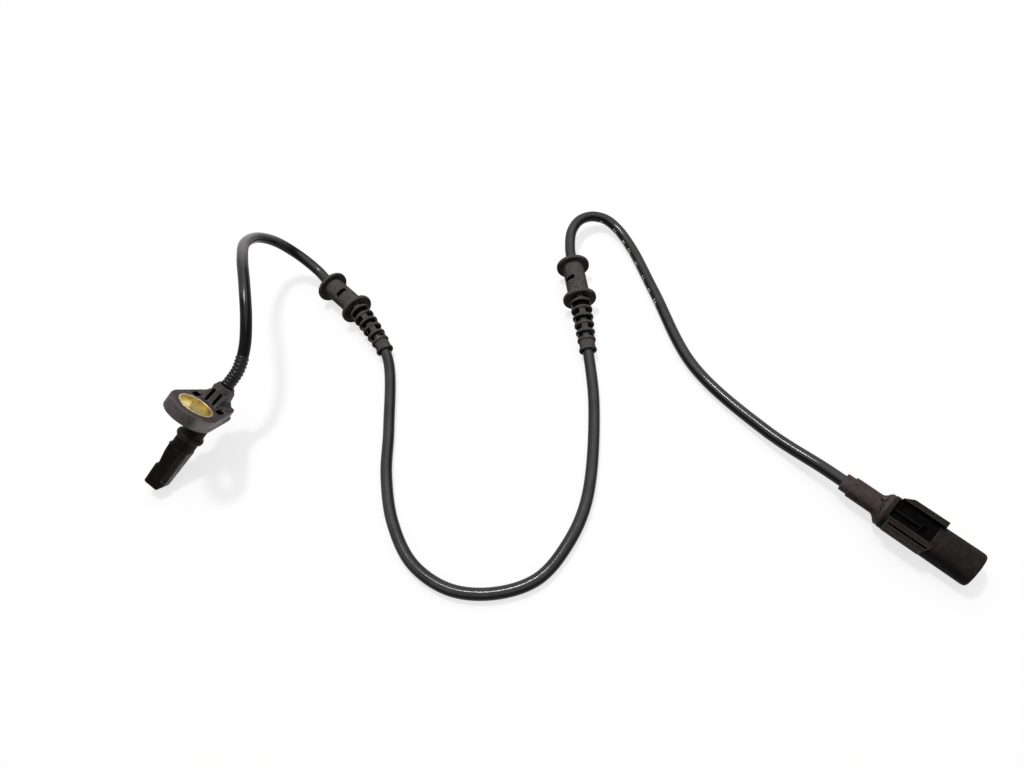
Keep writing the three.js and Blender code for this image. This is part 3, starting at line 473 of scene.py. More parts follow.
def rim_look():
    """The bush's end faces: dull pale brass with scratches."""
    look = Look("brass_rim", metallic=0.75)
    tarnish = look.ramp(look.noise(1.2, 5.0, 0.7), 0.35, 0.7)
    look.colour(look.mix(tarnish, (0.66, 0.56, 0.38), (0.34, 0.27, 0.17)))
    look.roughness((0.6, 4.0, 0.6), 0.35, 0.6)
    look.bump((0.25, 3.0, 0.5), 0.02)
    return look.material


def tin_look():
    look = Look("tinned_copper", metallic=1.0)
    dull = look.ramp(look.noise(0.9, 5.0, 0.6), 0.35, 0.7)
    look.colour(look.mix(dull, (0.78, 0.75, 0.7), (0.52, 0.49, 0.45)))
    look.roughness((0.5, 4.0, 0.6), 0.25, 0.45)
    return look.material


def plain_plastic_look(name, dark, pale):
    look = Look(name)
    look.colour(look.mix(look.ramp(look.noise(1.5, 4.0, 0.6), 0.35, 0.7), dark, pale))
    look.roughness((1.0, 4.0, 0.6), 0.35, 0.55)
    return look.material


GROMMET_LOOK = moulded_look(
    "grommet_rubber", (0.007, 0.006, 0.006), (0.026, 0.022, 0.021), (0.105, 0.095, 0.09),
    (0.1, 0.09, 0.086), dust_and_sheen_share=0.75, rough=(0.6, 0.85), specular=0.07)
# Near black: painted shade deep in the tail's windows and in the barrel's slot.
WINDOW_SHADE_LOOK = moulded_look(
    "grommet_window_shade", (0.0006, 0.0005, 0.0005), (0.002, 0.0016, 0.0016), (0.008, 0.007, 0.007),
    (0.02, 0.018, 0.018), dust_and_sheen_share=0.2, rough=(0.6, 0.85), specular=0.04)
CONNECTOR_LOOK = moulded_look(
    "connector_plastic", (0.0008, 0.0005, 0.0004), (0.005, 0.0035, 0.003), (0.036, 0.028, 0.024),
    (0.068, 0.06, 0.054), dust_and_sheen_share=0.6, rough=(0.5, 0.75), specular=0.05)
REAR_LOOK = moulded_look(
    "rear_plastic", (0.008, 0.005, 0.0045), (0.026, 0.018, 0.017), (0.088, 0.068, 0.063),
    (0.11, 0.092, 0.086), dust_and_sheen_share=0.7, rough=(0.5, 0.78), specular=0.08)
# Near black: painted shade for the connector's recess and deck line, and for the head's pockets and
# neck grooves.
RECESS_SHADE_LOOK = moulded_look(
    "painted_recess_shade", (0.0004, 0.0003, 0.0003), (0.001, 0.0008, 0.0009), (0.004, 0.003, 0.003),
    (0.02, 0.017, 0.018), dust_and_sheen_share=0.2, rough=(0.5, 0.7), specular=0.03)
RELIEF_LOOK = moulded_look(
    "relief_rubber", (0.0006, 0.0006, 0.0006), (0.002, 0.0018, 0.0018), (0.03, 0.027, 0.027),
    (0.04, 0.037, 0.036), dust_and_sheen_share=0.2, rough=(0.18, 0.3), specular=0.26)
SEAL_LOOK = moulded_look(
    "seal_rubber", (0.0015, 0.001, 0.001), (0.006, 0.005, 0.0045), (0.07, 0.062, 0.055),
    (0.03, 0.026, 0.024), dust_and_sheen_share=0.12, rough=(0.35, 0.6), specular=0.1)
JACKET_LOOK = jacket_look()
PRINT_LOOK = print_look()
BRASS_LOOK = brass_look()
RIM_LOOK = rim_look()
TIN_LOOK = tin_look()
CARRIER_LOOK = plain_plastic_look("carrier_plastic", (0.012, 0.014, 0.018), (0.03, 0.034, 0.042))
CHIP_LOOK = plain_plastic_look("chip_resin", (0.008, 0.008, 0.009), (0.02, 0.02, 0.022))
LOCK_LOOK = plain_plastic_look("lock_plastic", (0.11, 0.115, 0.13), (0.17, 0.175, 0.19))
SUPPLY_LOOK = plain_plastic_look("core_supply", (0.24, 0.09, 0.03), (0.3, 0.12, 0.045))
SIGNAL_LOOK = plain_plastic_look("core_signal", (0.02, 0.07, 0.24), (0.03, 0.095, 0.3))


# Head, in its own frame: the nose's axis is Z from its tip up, and the bush lies along -Y

HEAD_INCLINE = 27.7
HEAD_ROLL = 26.4
HEAD_YAW = -4.1
STICK_WIDTH = 9.4
STICK_DEPTH = 8.8
STICK_CORNER = 2.2
STICK_HEIGHT = 21.2
TIP_TAPER = 0.88
TIP_BLOCK_HEIGHT = 9.2
TIP_CORNER_WIDTH = 1.3
TIP_CORNER_HEIGHT = 3
NOTCH_DEPTH = 1.8
NOTCH_RAMP = 1
NOTCH_LENGTH = 9.6
WAIST_WALL = 0.6
KEY_FLAT_DEPTH = 0.5
KEY_FLAT_ANGLE = -38
KEY_FLAT_START = 4.8
NUB_RADIUS = 0.9
NOSE_RADIUS = 4.9
NOSE_HEIGHT = 40.5
SEAL_HEIGHT = 26.8
SEAL_RADIUS = 5.0
SEAL_SECTION = 0.95
SEAL_FILL = 1.32  # the ring swells along the nose and fills its groove
FLANGE_THICKNESS = 5.7
FLANGE_EDGE = 0.6
LEDGE_HEIGHT = 1.8
LEDGE_WIDTH = 0.6
LEDGE_EDGE = 0.25
BUSH_OFFSET = 17.5
BUSH_OUTER = 7.5
BUSH_INNER = 6.5
BUSH_PROUD = 0.3
EAR_RADIUS = 10.6
EAR_STEPS = 48
BACK_HALF_WIDTH = 7.3
BACK_EDGE = 5.4
BACK_CORNER = 1.3
POCKET_X = 6.1
POCKET_Y = -6.9
POCKET_WIDTH = 3
POCKET_LENGTH = 5.6
POCKET_DEPTH = 3.5
POCKET_CORNER = 0.8
NECK_HEIGHT = 8
NECK_BASE = 6.8
NECK_WAIST = 5.1
NECK_COLLAR = 4.75
NECK_COLLAR_START = 4.4
NECK_TOP = 3.3
NECK_RIB_REACH = 3.4
NECK_GROOVE_WIDTH = 1.3
NECK_GROOVE_X = 1.8
NECK_GROOVE_FLOOR = 3.3
NECK_GROOVE_TOP = 5.3
SPIGOT_RADIUS = 2.4
SPIGOT_LENGTH = 2
RELIEF_LENGTH = 14
RELIEF_RIB = 2.8
RELIEF_GROOVE = 2.48
RELIEF_RIBS = 9
WIRE_BORE = 1.9
CARRIER_HALF_WIDTH = 2.9
CARRIER_HALF_DEPTH = 2.1
CARRIER_START = 2.8
CARRIER_END = 21.5
FLANGE_TOP = NOSE_HEIGHT + FLANGE_THICKNESS
HEAD_LENGTH = FLANGE_TOP + NECK_HEIGHT
HEAD_VOXEL = 0.25


def head_matrix():
    """From the head's millimetres to the row's metres."""
    turn = rotation("Z", HEAD_YAW) @ rotation("X", HEAD_INCLINE - 90) @ rotation("Z", HEAD_ROLL)
    neck_top = turn @ Vector((0, 0, HEAD_LENGTH * MM))
    return Matrix.Translation(ROUTE[0] - neck_top) @ turn @ Matrix.Scale(MM, 4)


HEAD = head_matrix()


def head_way(x, y, z):
    """A direction of the head's own frame, as the head lies."""
    return (HEAD.to_3x3() @ Vector((x, y, z))).normalized()


HEAD_AXIS = head_way(0, 0, 1)
HEAD_DEPTH = head_way(0, 1, 0)
FLOOR_LIT_SIDE = head_way(1, -0.35, 0)  # the side whose walls get painted light and a painted reflection of the white floor
STRIP_START = -2.3  # mm along the head's Y, where the painted floor reflection on the nose begins


def past(look, way, low, high):
    """0 where a place is under low mm along a way of the head, 1 where it is over high mm."""
    start = HEAD.translation.dot(way)
    return look.beyond(way, start + low * MM, start + high * MM)


def head_look():
    """Black at the nose, which was seated in its bore, and grey with road dust from the flange up;
    painted light and a painted floor reflection on the walls facing one side, painted shade in the
    creases.
    """
    look = Look("head_plastic", specular=0.09)
    patches = look.ramp(look.noise(3.0, 6.0, 0.65), 0.38, 0.66)
    zone = past(look, HEAD_AXIS, NOSE_HEIGHT - 1, NOSE_HEIGHT + 0.3)
    above_flange = past(look, HEAD_AXIS, FLANGE_TOP + 0.5, FLANGE_TOP + 2)
    facing_lit_side = look.facing(FLOOR_LIT_SIDE, 0.72, 0.95)
    nose = look.mix(patches, (0.001, 0.0004, 0.0003), (0.004, 0.002, 0.0018))
    on_stick = look.ramp(past(look, HEAD_AXIS, STICK_HEIGHT - 1, STICK_HEIGHT + 1), 0, 1, 1, 0)
    # A painted reflection of the white floor on the stick's side beyond the flat.
    reflection_strip = look.product(
        on_stick, past(look, HEAD_DEPTH, STRIP_START, STRIP_START + 0.8), facing_lit_side,
        look.ramp(look.noise(2.0, 5.0, 0.6), 0.25, 0.6, 0.35, 0.9))
    nose_with_reflection = look.mix(reflection_strip, nose, (0.14, 0.13, 0.125))
    upper = look.mix(patches, (0.014, 0.0095, 0.0095), (0.036, 0.028, 0.027))
    exposed_share = look.product(look.ramp(zone, 0, 1, 0.04, 1.0), look.ramp(above_flange, 0, 1, 1.0, 0.5))
    dusted = look.mix(look.ramp(zone, 0, 1), nose_with_reflection, upper)
    uneven = look.ramp(look.noise(1.6, 6.0, 0.7), 0.25, 0.75, 0.3, 0.85)
    upper_pale = look.product(look.ramp(look.upward(0.1, 0.9), 0, 1, 0.12, 1.0), uneven, exposed_share)
    paled_above = look.mix(upper_pale, dusted, (0.095, 0.083, 0.079))
    # Painted light on the walls facing one side, from the flange up.
    side_light_noise = look.ramp(look.noise(2.5, 5.0, 0.6), 0.2, 0.6, 0.4, 0.9)
    side_lit = look.mix(look.product(facing_lit_side, exposed_share, side_light_noise), paled_above, (0.2, 0.185, 0.172))
    speckle = look.ramp(look.noise(0.5, 3.0, 0.7), 0.52, 0.74)
    specked = look.mix(look.product(speckle, exposed_share, 0.3), side_lit, (0.12, 0.105, 0.1))
    # Creases darker: painted shade.
    crease_shaded = look.mix(look.product(look.creases(), 0.85), specked, (0.001, 0.0006, 0.0006))
    worn = look.product(look.edges(), look.ramp(exposed_share, 0, 1, 0.3, 0.6))
    look.colour(look.mix(worn, crease_shaded, (0.14, 0.128, 0.122)))
    look.roughness((2.2, 5.0, 0.6), 0.4, 0.68)
    look.bump((0.35, 4.0, 0.6), 0.035)
    return look.material


HEAD_LOOK = head_look()


def flange_outline(grow):
    """An ear round the bush, and straight sides to a back edge with rounded corners."""
    bush = Vector((0, -BUSH_OFFSET))
    corner = Vector((BACK_HALF_WIDTH + grow, BACK_EDGE + grow))
    to_corner = corner - bush
    touch = math.atan2(to_corner.y, to_corner.x) - math.acos(EAR_RADIUS / to_corner.length)
    outline = []
    for i in range(EAR_STEPS + 1):
        angle = math.pi - touch + (math.pi + 2 * touch) * i / EAR_STEPS
        outline.append((bush.x + EAR_RADIUS * math.cos(angle), bush.y + EAR_RADIUS * math.sin(angle)))
    outline += [tuple(corner), (-corner.x, corner.y)]
    radii = [0] * (EAR_STEPS + 1) + [BACK_CORNER] * 2
    return rounded(outline, radii, closed=True)


def rounded_rectangle(width, height, radius, x=0.0, y=0.0):
    w, h = width / 2, height / 2
    corners = [(x - w, y - h), (x + w, y - h), (x + w, y + h), (x - w, y + h)]
    return rounded(corners, radius, 6, closed=True)


def flange():
    top = slab(flange_outline(0), NOSE_HEIGHT, FLANGE_TOP, FLANGE_EDGE)
    ledge = slab(
        flange_outline(LEDGE_WIDTH), NOSE_HEIGHT, NOSE_HEIGHT + LEDGE_HEIGHT, LEDGE_EDGE)
    return joined(top, ledge)


def flange_cutters():
    pockets = [
        slab(
            rounded_rectangle(
                POCKET_WIDTH, POCKET_LENGTH, POCKET_CORNER, side * POCKET_X, POCKET_Y),
            FLANGE_TOP - POCKET_DEPTH, FLANGE_TOP + CUTTER_REACH)
        for side in (-1, 1)]
    bush_bore = rod(
        BUSH_OUTER + GAP, NOSE_HEIGHT - CUTTER_REACH, FLANGE_TOP + CUTTER_REACH, y=-BUSH_OFFSET)
    return [*pockets, bush_bore]


def cross_cutter(points, reach):
    """A cutter that goes right through along Y, from an outline of (x, z) points."""
    return moved(slab(points, -reach, reach), rotation("X", 90))


def side_slab(points, x0, x1):
    """An outline of (y, z) points pulled along X."""
    return moved(slab(points, x0, x1), SIDEWAYS)


def stick():
    """The lower nose: a square stick that narrows to its tip, with a waist, a flat and a nub."""
    body = slab(rounded_rectangle(STICK_WIDTH, STICK_DEPTH, STICK_CORNER), 0, STICK_HEIGHT, 0.6)
    for vertex in body.data.vertices:
        share = TIP_TAPER + (1 - TIP_TAPER) * vertex.co.z / STICK_HEIGHT
        vertex.co.x *= share
        vertex.co.y *= share
    face = -STICK_WIDTH / 2
    low, high = TIP_BLOCK_HEIGHT, TIP_BLOCK_HEIGHT + NOTCH_LENGTH
    waist = cross_cutter([
        (face - 2, low), (face, low), (face + NOTCH_DEPTH, low + NOTCH_RAMP), (face, high),
        (face - 2, high),
    ], STICK_DEPTH)
    tip_side = STICK_WIDTH / 2 * TIP_TAPER
    tip_corner = cross_cutter([
        (tip_side - TIP_CORNER_WIDTH, -1), (tip_side - TIP_CORNER_WIDTH, 0),
        (tip_side + 0.2, TIP_CORNER_HEIGHT), (tip_side + 2, TIP_CORNER_HEIGHT), (tip_side + 2, -1),
    ], STICK_DEPTH)
    flat_face = NOSE_RADIUS - KEY_FLAT_DEPTH
    key_flat = block(
        (flat_face, flat_face + 4), (-STICK_DEPTH, STICK_DEPTH), (KEY_FLAT_START, STICK_HEIGHT + 8))
    moved(key_flat, rotation("Z", KEY_FLAT_ANGLE))
    nub = rod(NUB_RADIUS, -1.6, 1.6, 0.4, 24)
    moved(nub, rotation("X", 90))
    moved(nub, Matrix.Translation((face + 0.1, 0, high + NUB_RADIUS)))
    return joined(cut(body, waist, tip_corner, key_flat), nub)


def neck():
    root = NOSE_HEIGHT + 1
    base = FLANGE_TOP + 0.4
    collar = FLANGE_TOP + NECK_COLLAR_START
    body = turned(rounded([
        (0, root), (NECK_BASE, root), (NECK_BASE, base),
        ((NECK_BASE + NECK_WAIST) / 2, FLANGE_TOP + NECK_COLLAR_START * 0.35),
        (NECK_WAIST - 0.5, FLANGE_TOP + NECK_COLLAR_START * 0.75),
        (NECK_WAIST - 0.6, collar - 0.1), (NECK_COLLAR, collar + 0.1), (NECK_COLLAR, HEAD_LENGTH - 2.5),
        (NECK_TOP + 0.3, HEAD_LENGTH - 0.3), (NECK_TOP, HEAD_LENGTH), (0, HEAD_LENGTH),
    ], 0.3))
    ribs = side_slab([
        (-NECK_BASE, root), (NECK_BASE, root), (NECK_BASE, base), (NECK_COLLAR, collar + 1),
        (-NECK_COLLAR, collar + 1), (-NECK_BASE, base),
    ], -NECK_RIB_REACH, NECK_RIB_REACH)
    body = joined(body, ribs)
    grooves = [
        block(about(x, NECK_GROOVE_WIDTH), y_span, (FLANGE_TOP, FLANGE_TOP + NECK_GROOVE_TOP))
        for x in (-NECK_GROOVE_X, NECK_GROOVE_X)
        for y_span in ((-9, -NECK_GROOVE_FLOOR), (NECK_GROOVE_FLOOR, 9))]
    return cut(body, *grooves)


def in_pocket(place):
    """True inside the flange's pockets and the neck's grooves."""
    pocket = (
        NOSE_HEIGHT + 1 < place.z < FLANGE_TOP - 0.5
        and abs(abs(place.x) - POCKET_X) < POCKET_WIDTH / 2 + 0.1
        and abs(place.y - POCKET_Y) < POCKET_LENGTH / 2 + 0.1)
    groove = (
        FLANGE_TOP < place.z < FLANGE_TOP + NECK_GROOVE_TOP + 0.1
        and abs(abs(place.x) - NECK_GROOVE_X) < NECK_GROOVE_WIDTH / 2 + 0.05
        and NECK_GROOVE_FLOOR - 0.1 < abs(place.y) < NECK_BASE - 0.7)
    return pocket or groove


def head_housing():
    low, high = SEAL_HEIGHT - SEAL_SECTION - GAP, SEAL_HEIGHT + SEAL_SECTION + GAP
    floor_radius = SEAL_RADIUS - SEAL_SECTION - GAP
    seal_groove = turned(
        [(floor_radius, low), (NOSE_RADIUS + 1, low), (NOSE_RADIUS + 1, high), (floor_radius, high)],
        closed=True)
    chamber = block(
        about(0, 2 * (CARRIER_HALF_WIDTH + GAP)), about(0, 2 * (CARRIER_HALF_DEPTH + GAP)),
        (CARRIER_START - GAP, CARRIER_END + GAP))
    waist_wall = block(
        (-STICK_WIDTH, -STICK_WIDTH / 2 + NOTCH_DEPTH + WAIST_WALL), (-STICK_DEPTH, STICK_DEPTH),
        (TIP_BLOCK_HEIGHT - 1, TIP_BLOCK_HEIGHT + 4))
    cut(chamber, waist_wall)
    body = joined(
        stick(), rod(NOSE_RADIUS, STICK_HEIGHT - 1, NOSE_HEIGHT + 1), flange(), neck())
    body = cut(
        body, seal_groove, chamber,
        rod(WIRE_BORE + GAP, CARRIER_END, HEAD_LENGTH + CUTTER_REACH),
        rod(SPIGOT_RADIUS + GAP, HEAD_LENGTH - SPIGOT_LENGTH - GAP, HEAD_LENGTH + CUTTER_REACH),
        *flange_cutters())
    softened(body, HEAD_VOXEL)
    shaded = [in_pocket(face.center) for face in body.data.polygons]
    finished(moved(body, HEAD), "head_moulding", HEAD_LOOK, ["head_housing"])
    # The pockets and the neck's grooves get painted shade.
    paint(body, RECESS_SHADE_LOOK, shaded)


def bush():
    low, high = NOSE_HEIGHT - BUSH_PROUD, FLANGE_TOP + BUSH_PROUD
    section = rounded(
        [(BUSH_INNER, low), (BUSH_OUTER, low), (BUSH_OUTER, high), (BUSH_INNER, high)],
        0.35, closed=True)
    ring = turned(section, 128, closed=True)
    moved(ring, Matrix.Translation((0, -BUSH_OFFSET, 0)))
    moved(ring, HEAD)
    finished(ring, "bolt_bush", BRASS_LOOK, ["flange_bushing"], sharp=50)
    paint(ring, RIM_LOOK, [abs(face.normal.dot(HEAD_AXIS)) > 0.35 for face in ring.data.polygons])


def nose_seal():
    section = [
        (SEAL_RADIUS + u, SEAL_HEIGHT + SEAL_FILL * v) for u, v in circle(SEAL_SECTION, 20)]
    finished(
        moved(turned(section, 128, closed=True), HEAD), "nose_seal", SEAL_LOOK,
        ["nose_seal_ring"])


def strain_relief():
    """A sleeve with fine ribs, bent with the cable above the neck."""
    pitch = RELIEF_LENGTH / RELIEF_RIBS  # the last rib ends where the jacket begins
    outside = [(WIRE_BORE, -SPIGOT_LENGTH), (SPIGOT_RADIUS, -SPIGOT_LENGTH), (SPIGOT_RADIUS, GAP)]
    for i in range(RELIEF_RIBS):
        z = GAP + i * pitch
        outside += [
            (RELIEF_GROOVE, z), (RELIEF_RIB, z + 0.2 * pitch), (RELIEF_RIB, z + 0.62 * pitch),
            (RELIEF_GROOVE, z + 0.8 * pitch), (RELIEF_GROOVE, z + pitch)]
    inside = [(WIRE_BORE, GAP + i * pitch) for i in range(RELIEF_RIBS, -1, -1)]
    piece = turned(rounded(outside + inside, 0.3, 3, closed=True), 64, closed=True)
    finished(
        bent(piece, 0), "ribbed_relief", RELIEF_LOOK, ["head_strain_relief"])


# Cable

CABLE_RADIUS = 2.5
CABLE_RING_STEP = 0.5
CABLE_SIDES = 40
CABLE_START = (RELIEF_LENGTH + GAP) * MM


def cable_path():
    steps = math.ceil((route.length - CABLE_START) / (CABLE_RING_STEP * MM))
    span = route.length - CABLE_START
    return [CABLE_START + span * i / steps for i in range(steps + 1)]


# Plain ink marks along the cable: place in mm along it, their length in mm, and the first and the
# last side round the jacket that they cover.
PRINT_GROUPS = (545.5, 555.5, 564, 570, 579, 588.5, 596.5, 603.5)
PRINT_STROKES = (((0, 0.5, -1, 2), (0.5, 1.5, -1, -1), (1.5, 0.5, -1, 2)),
                 ((0, 0.5, -2, 1), (1.5, 0.5, -2, 1), (2, 1, 1, 1)))
PRINT_TURN_START = 178
PRINT_TURN_END = 150
PRINT_TURN_LENGTH = 16


def print_marks(stations):
    """The numbers of the jacket's faces that have ink, counted ring by ring and side by side."""
    marked = set()
    step = stations[1] - stations[0]
    for number, start in enumerate(PRINT_GROUPS):
        share = min(1, (start - PRINT_GROUPS[0]) / PRINT_TURN_LENGTH)
        turn = PRINT_TURN_START + (PRINT_TURN_END - PRINT_TURN_START) * share
        side = round(turn / 360 * CABLE_SIDES)
        for offset, length, low, high in PRINT_STROKES[number % 2]:
            first = round(((start + offset) * MM - stations[0]) / step)
            for ring in range(first, first + round(length * MM / step)):
                marked.update(ring * CABLE_SIDES + side + k for k in range(low, high + 1))
    return marked


def cable():
    stations = cable_path()
    vertices, rings = [], []
    for along in stations:
        at = route.frame_at(along)
        rings.append(range(len(vertices), len(vertices) + CABLE_SIDES))
        vertices += [at @ Vector((x, y, 0)) for x, y in circle(CABLE_RADIUS * MM, CABLE_SIDES)]
    faces = [face for low, high in zip(rings, rings[1:]) for face in band(low, high)]
    piece = built(vertices, [*faces, tuple(rings[0])[::-1], tuple(rings[-1])])
    finished(piece, "cable", JACKET_LOOK, ["cable_jacket"], sharp=60)
    marked = print_marks(stations)
    paint(piece, PRINT_LOOK, [i in marked for i in range(len(piece.data.polygons))])
    path = [route.place(along) for along in stations]


# Grommets

GROMMET_FLANGE = 7.7
GROMMET_FLANGE_THICKNESS = 1.8
GROMMET_BARREL = 4.95
GROMMET_SPACING = 20
GROMMET_NECK = 3.6
GROMMET_NECK_LENGTH = 2.6
TAIL_RINGS = 7
TAIL_START = 1.9
TAIL_PITCH = 3.9
TAIL_END_PITCH = 5
TAIL_RING_THICKNESS = 1.4
TAIL_RING_EDGE = 0.65
TAIL_RING_FIRST = 5.1
TAIL_RING_LAST = 4
TAIL_VALLEY = 0.5
TAIL_BAR_WIDTH = 2.6
TAIL_WINDOW_DEPTH = 1.25
SLOT_WIDTH = 5.2
SLOT_HEIGHT = 2.2
SLOT_DEPTH = 1.5
FRONT_SLOT_TURN = 8
REAR_SLOT_TURN = 41
GROMMET_VOXEL = 0.2


def grommet_tail(tail_start):
    """Thin rings, joined in turn by bars at both sides and by bars above and below."""
    pieces = []
    below = tail_start
    for i in range(TAIL_RINGS):
        last = i == TAIL_RINGS - 1
        radius = TAIL_RING_FIRST + (TAIL_RING_LAST - TAIL_RING_FIRST) * i / (TAIL_RINGS - 1)
        middle = tail_start + TAIL_START + i * TAIL_PITCH
        if last:
            middle += TAIL_END_PITCH - TAIL_PITCH
        low, high = middle - TAIL_RING_THICKNESS / 2, middle + TAIL_RING_THICKNESS / 2
        pieces.append(rod(radius, low, high, TAIL_RING_EDGE))
        inner = radius - TAIL_VALLEY
        core = inner if last else inner - TAIL_WINDOW_DEPTH
        pieces.append(rod(core, below - OVERLAP, low + OVERLAP))
        if not last:
            bar = block((-inner, inner), about(0, TAIL_BAR_WIDTH), (below - OVERLAP, low + OVERLAP))
            if not i % 2:
                moved(bar, rotation("Z", 90))
            pieces.append(bar)
        below = high
    return pieces, below


def in_window(place, tail_start, tail_end):
    """True low in the tail's windows, and in the slot of the barrel."""
    depth = math.hypot(place.x, place.y)
    if place.z < tail_start:
        return (
            GROMMET_FLANGE_THICKNESS < place.z < GROMMET_SPACING - GROMMET_FLANGE_THICKNESS
            and CABLE_RADIUS + 0.5 < depth < GROMMET_BARREL - 0.35)
    share = (place.z - tail_start) / (tail_end - tail_start)
    outer = TAIL_RING_FIRST + (TAIL_RING_LAST - TAIL_RING_FIRST) * share - TAIL_VALLEY
    return place.z < tail_end - TAIL_END_PITCH and depth < outer - 0.4


def grommet(name, station, direction, slot_turn, node):
    """Two flanges that grip a bulkhead's edge, and a tapered tail with staggered windows."""
    half = GROMMET_FLANGE_THICKNESS / 2
    tail_start = GROMMET_SPACING + half
    neck_end = -half - GROMMET_NECK_LENGTH
    body = turned(rounded([
        (0, neck_end), (GROMMET_NECK - 0.3, neck_end),
        (GROMMET_NECK + 0.4, -half), (GROMMET_FLANGE, -half), (GROMMET_FLANGE, half),
        (GROMMET_BARREL, half), (GROMMET_BARREL, GROMMET_SPACING - half),
        (GROMMET_FLANGE, GROMMET_SPACING - half), (GROMMET_FLANGE, tail_start),
        (TAIL_RING_FIRST, tail_start), (0, tail_start),
    ], 0.6))
    tail, tail_end = grommet_tail(tail_start)
    slot = block(
        about(0, SLOT_WIDTH), (GROMMET_BARREL - SLOT_DEPTH, GROMMET_BARREL + CUTTER_REACH),
        about(GROMMET_SPACING / 2, SLOT_HEIGHT))
    moved(slot, rotation("Z", slot_turn))
    bore = rod(CABLE_RADIUS + GAP, neck_end - CUTTER_REACH, tail_end + CUTTER_REACH)
    piece = softened(cut(joined(body, *tail), slot, bore), GROMMET_VOXEL)
    shaded = [in_window(face.center, tail_start, tail_end) for face in piece.data.polygons]
    bent(piece, station, direction)
    finished(piece, name, GROMMET_LOOK, [node])
    # The windows and the slot get painted shade.
    paint(piece, WINDOW_SHADE_LOOK, shaded)
    return piece


# Connector, in its own frame: Z runs from the cable to the mouth, and the latch side is +Y

COLLAR_RADIUS = 3.6
COLLAR_LENGTH = 3
REAR_NECK_RADIUS = 4.25
REAR_NECK_LENGTH = 11
SHOULDER_LENGTH = 3.4
SHOULDER_RADIUS = 6.75
SHOULDER_LUMPS = 0.35
GATE_RADIUS = 0.9
GATE_ANGLE = 70
REAR_SPIGOT_RADIUS = 3.5
REAR_SPIGOT_LENGTH = 5
JACKET_INSERTION = 2.2
BARREL_RADIUS = 6.95
HOUSING_LENGTH = 35.3
MOUTH_EDGE = 1.9
REAR_EDGE = 0.5
SOCKET_RADIUS = 5.5
SOCKET_DEPTH = 13
REAR_CAVITY_DEPTH = 13
GUARD_HALF_SPAN = 7.5
GUARD_BOTTOM = 0.4
GUARD_START = 2.2
GUARD_LENGTH = 16.9
RAIL_WIDTH = 2.2
RAIL_TOP = 7.4
RAIL_CORNER_WIDTH = 1.9
RAIL_CORNER_LENGTH = 3.4
DECK_WIDTH = 4.9
DECK_TOP = 6.3
DECK_SLANT_WIDTH = 3
DECK_SLANT_LENGTH = 2.2
DECK_LINE_X = 2.3
DECK_LINE_WIDTH = 0.75
DECK_LINE_DEPTH = 0.8
RECESS_FLOOR = 4.8
RECESS_MARGIN = 1.6
LATCH_RIB_X = 0.5
LATCH_RIB_WIDTH = 0.9
LATCH_RIB_TOP = 6.3
LATCH_RIB_LENGTH = 11
LATCH_NOSE_WIDTH = 2.6
LATCH_NOSE_LENGTH = 2.4
LATCH_SINK = 0.5  # mm that the rib and its nose reach into their ground
CONNECTOR_ROLL = 14
PIN_SPREAD = 2.2
PIN_RADIUS = 0.8
PIN_LENGTH = 17.8
PIN_BODY_RADIUS = 1.0
PIN_BODY_LENGTH = 3
TERMINAL_CRIMP_RADIUS = 1.25
TERMINAL_CRIMP_LENGTH = 4.5
TERMINAL_START = 7.2
CORE_RADIUS = 0.55
REAR_START = COLLAR_LENGTH + GAP
REAR_FACE = REAR_START + REAR_NECK_LENGTH + SHOULDER_LENGTH
HOUSING_START = REAR_FACE + GAP
MOUTH = HOUSING_START + HOUSING_LENGTH
JACKET_END = REAR_START + JACKET_INSERTION
CONNECTOR_VOXEL = 0.25


def connector_matrix():
    """From the connector's millimetres to the row's metres."""
    start = ROUTE[-1] - Vector((JACKET_END * MM, 0, 0))
    return Matrix.Translation(start) @ SIDEWAYS @ rotation("Z", CONNECTOR_ROLL) @ Matrix.Scale(MM, 4)


CONNECTOR = connector_matrix()


def entry_collar():
    hole = CABLE_RADIUS + 0.05
    ring = turned(rounded(
        [(hole, 0), (COLLAR_RADIUS, 0), (COLLAR_RADIUS, REAR_START), (hole, REAR_START)],
        [0.1, 0.4, 0.05, 0.05], closed=True), closed=True)
    return finished(
        moved(ring, CONNECTOR), "entry_collar", REAR_LOOK,
        ["connector_entry_collar"], sharp=50)


def lumpy(piece, low, high, depth):
    """Makes the outer skin between two heights as uneven as a hand-dressed overmoulding."""
    middle, half = (low + high) / 2, (high - low) / 2
    for vertex in piece.data.vertices:
        share = 1 - min(1, abs(vertex.co.z - middle) / half) ** 2
        outward = Vector((vertex.co.x, vertex.co.y, 0))
        if share > 0 and outward.length > REAR_NECK_RADIUS * 0.9:
            lump = noise.noise(vertex.co / 1.3) + 0.5 * noise.noise(vertex.co / 0.6)
            vertex.co += outward.normalized() * depth * share * lump
    piece.data.update()


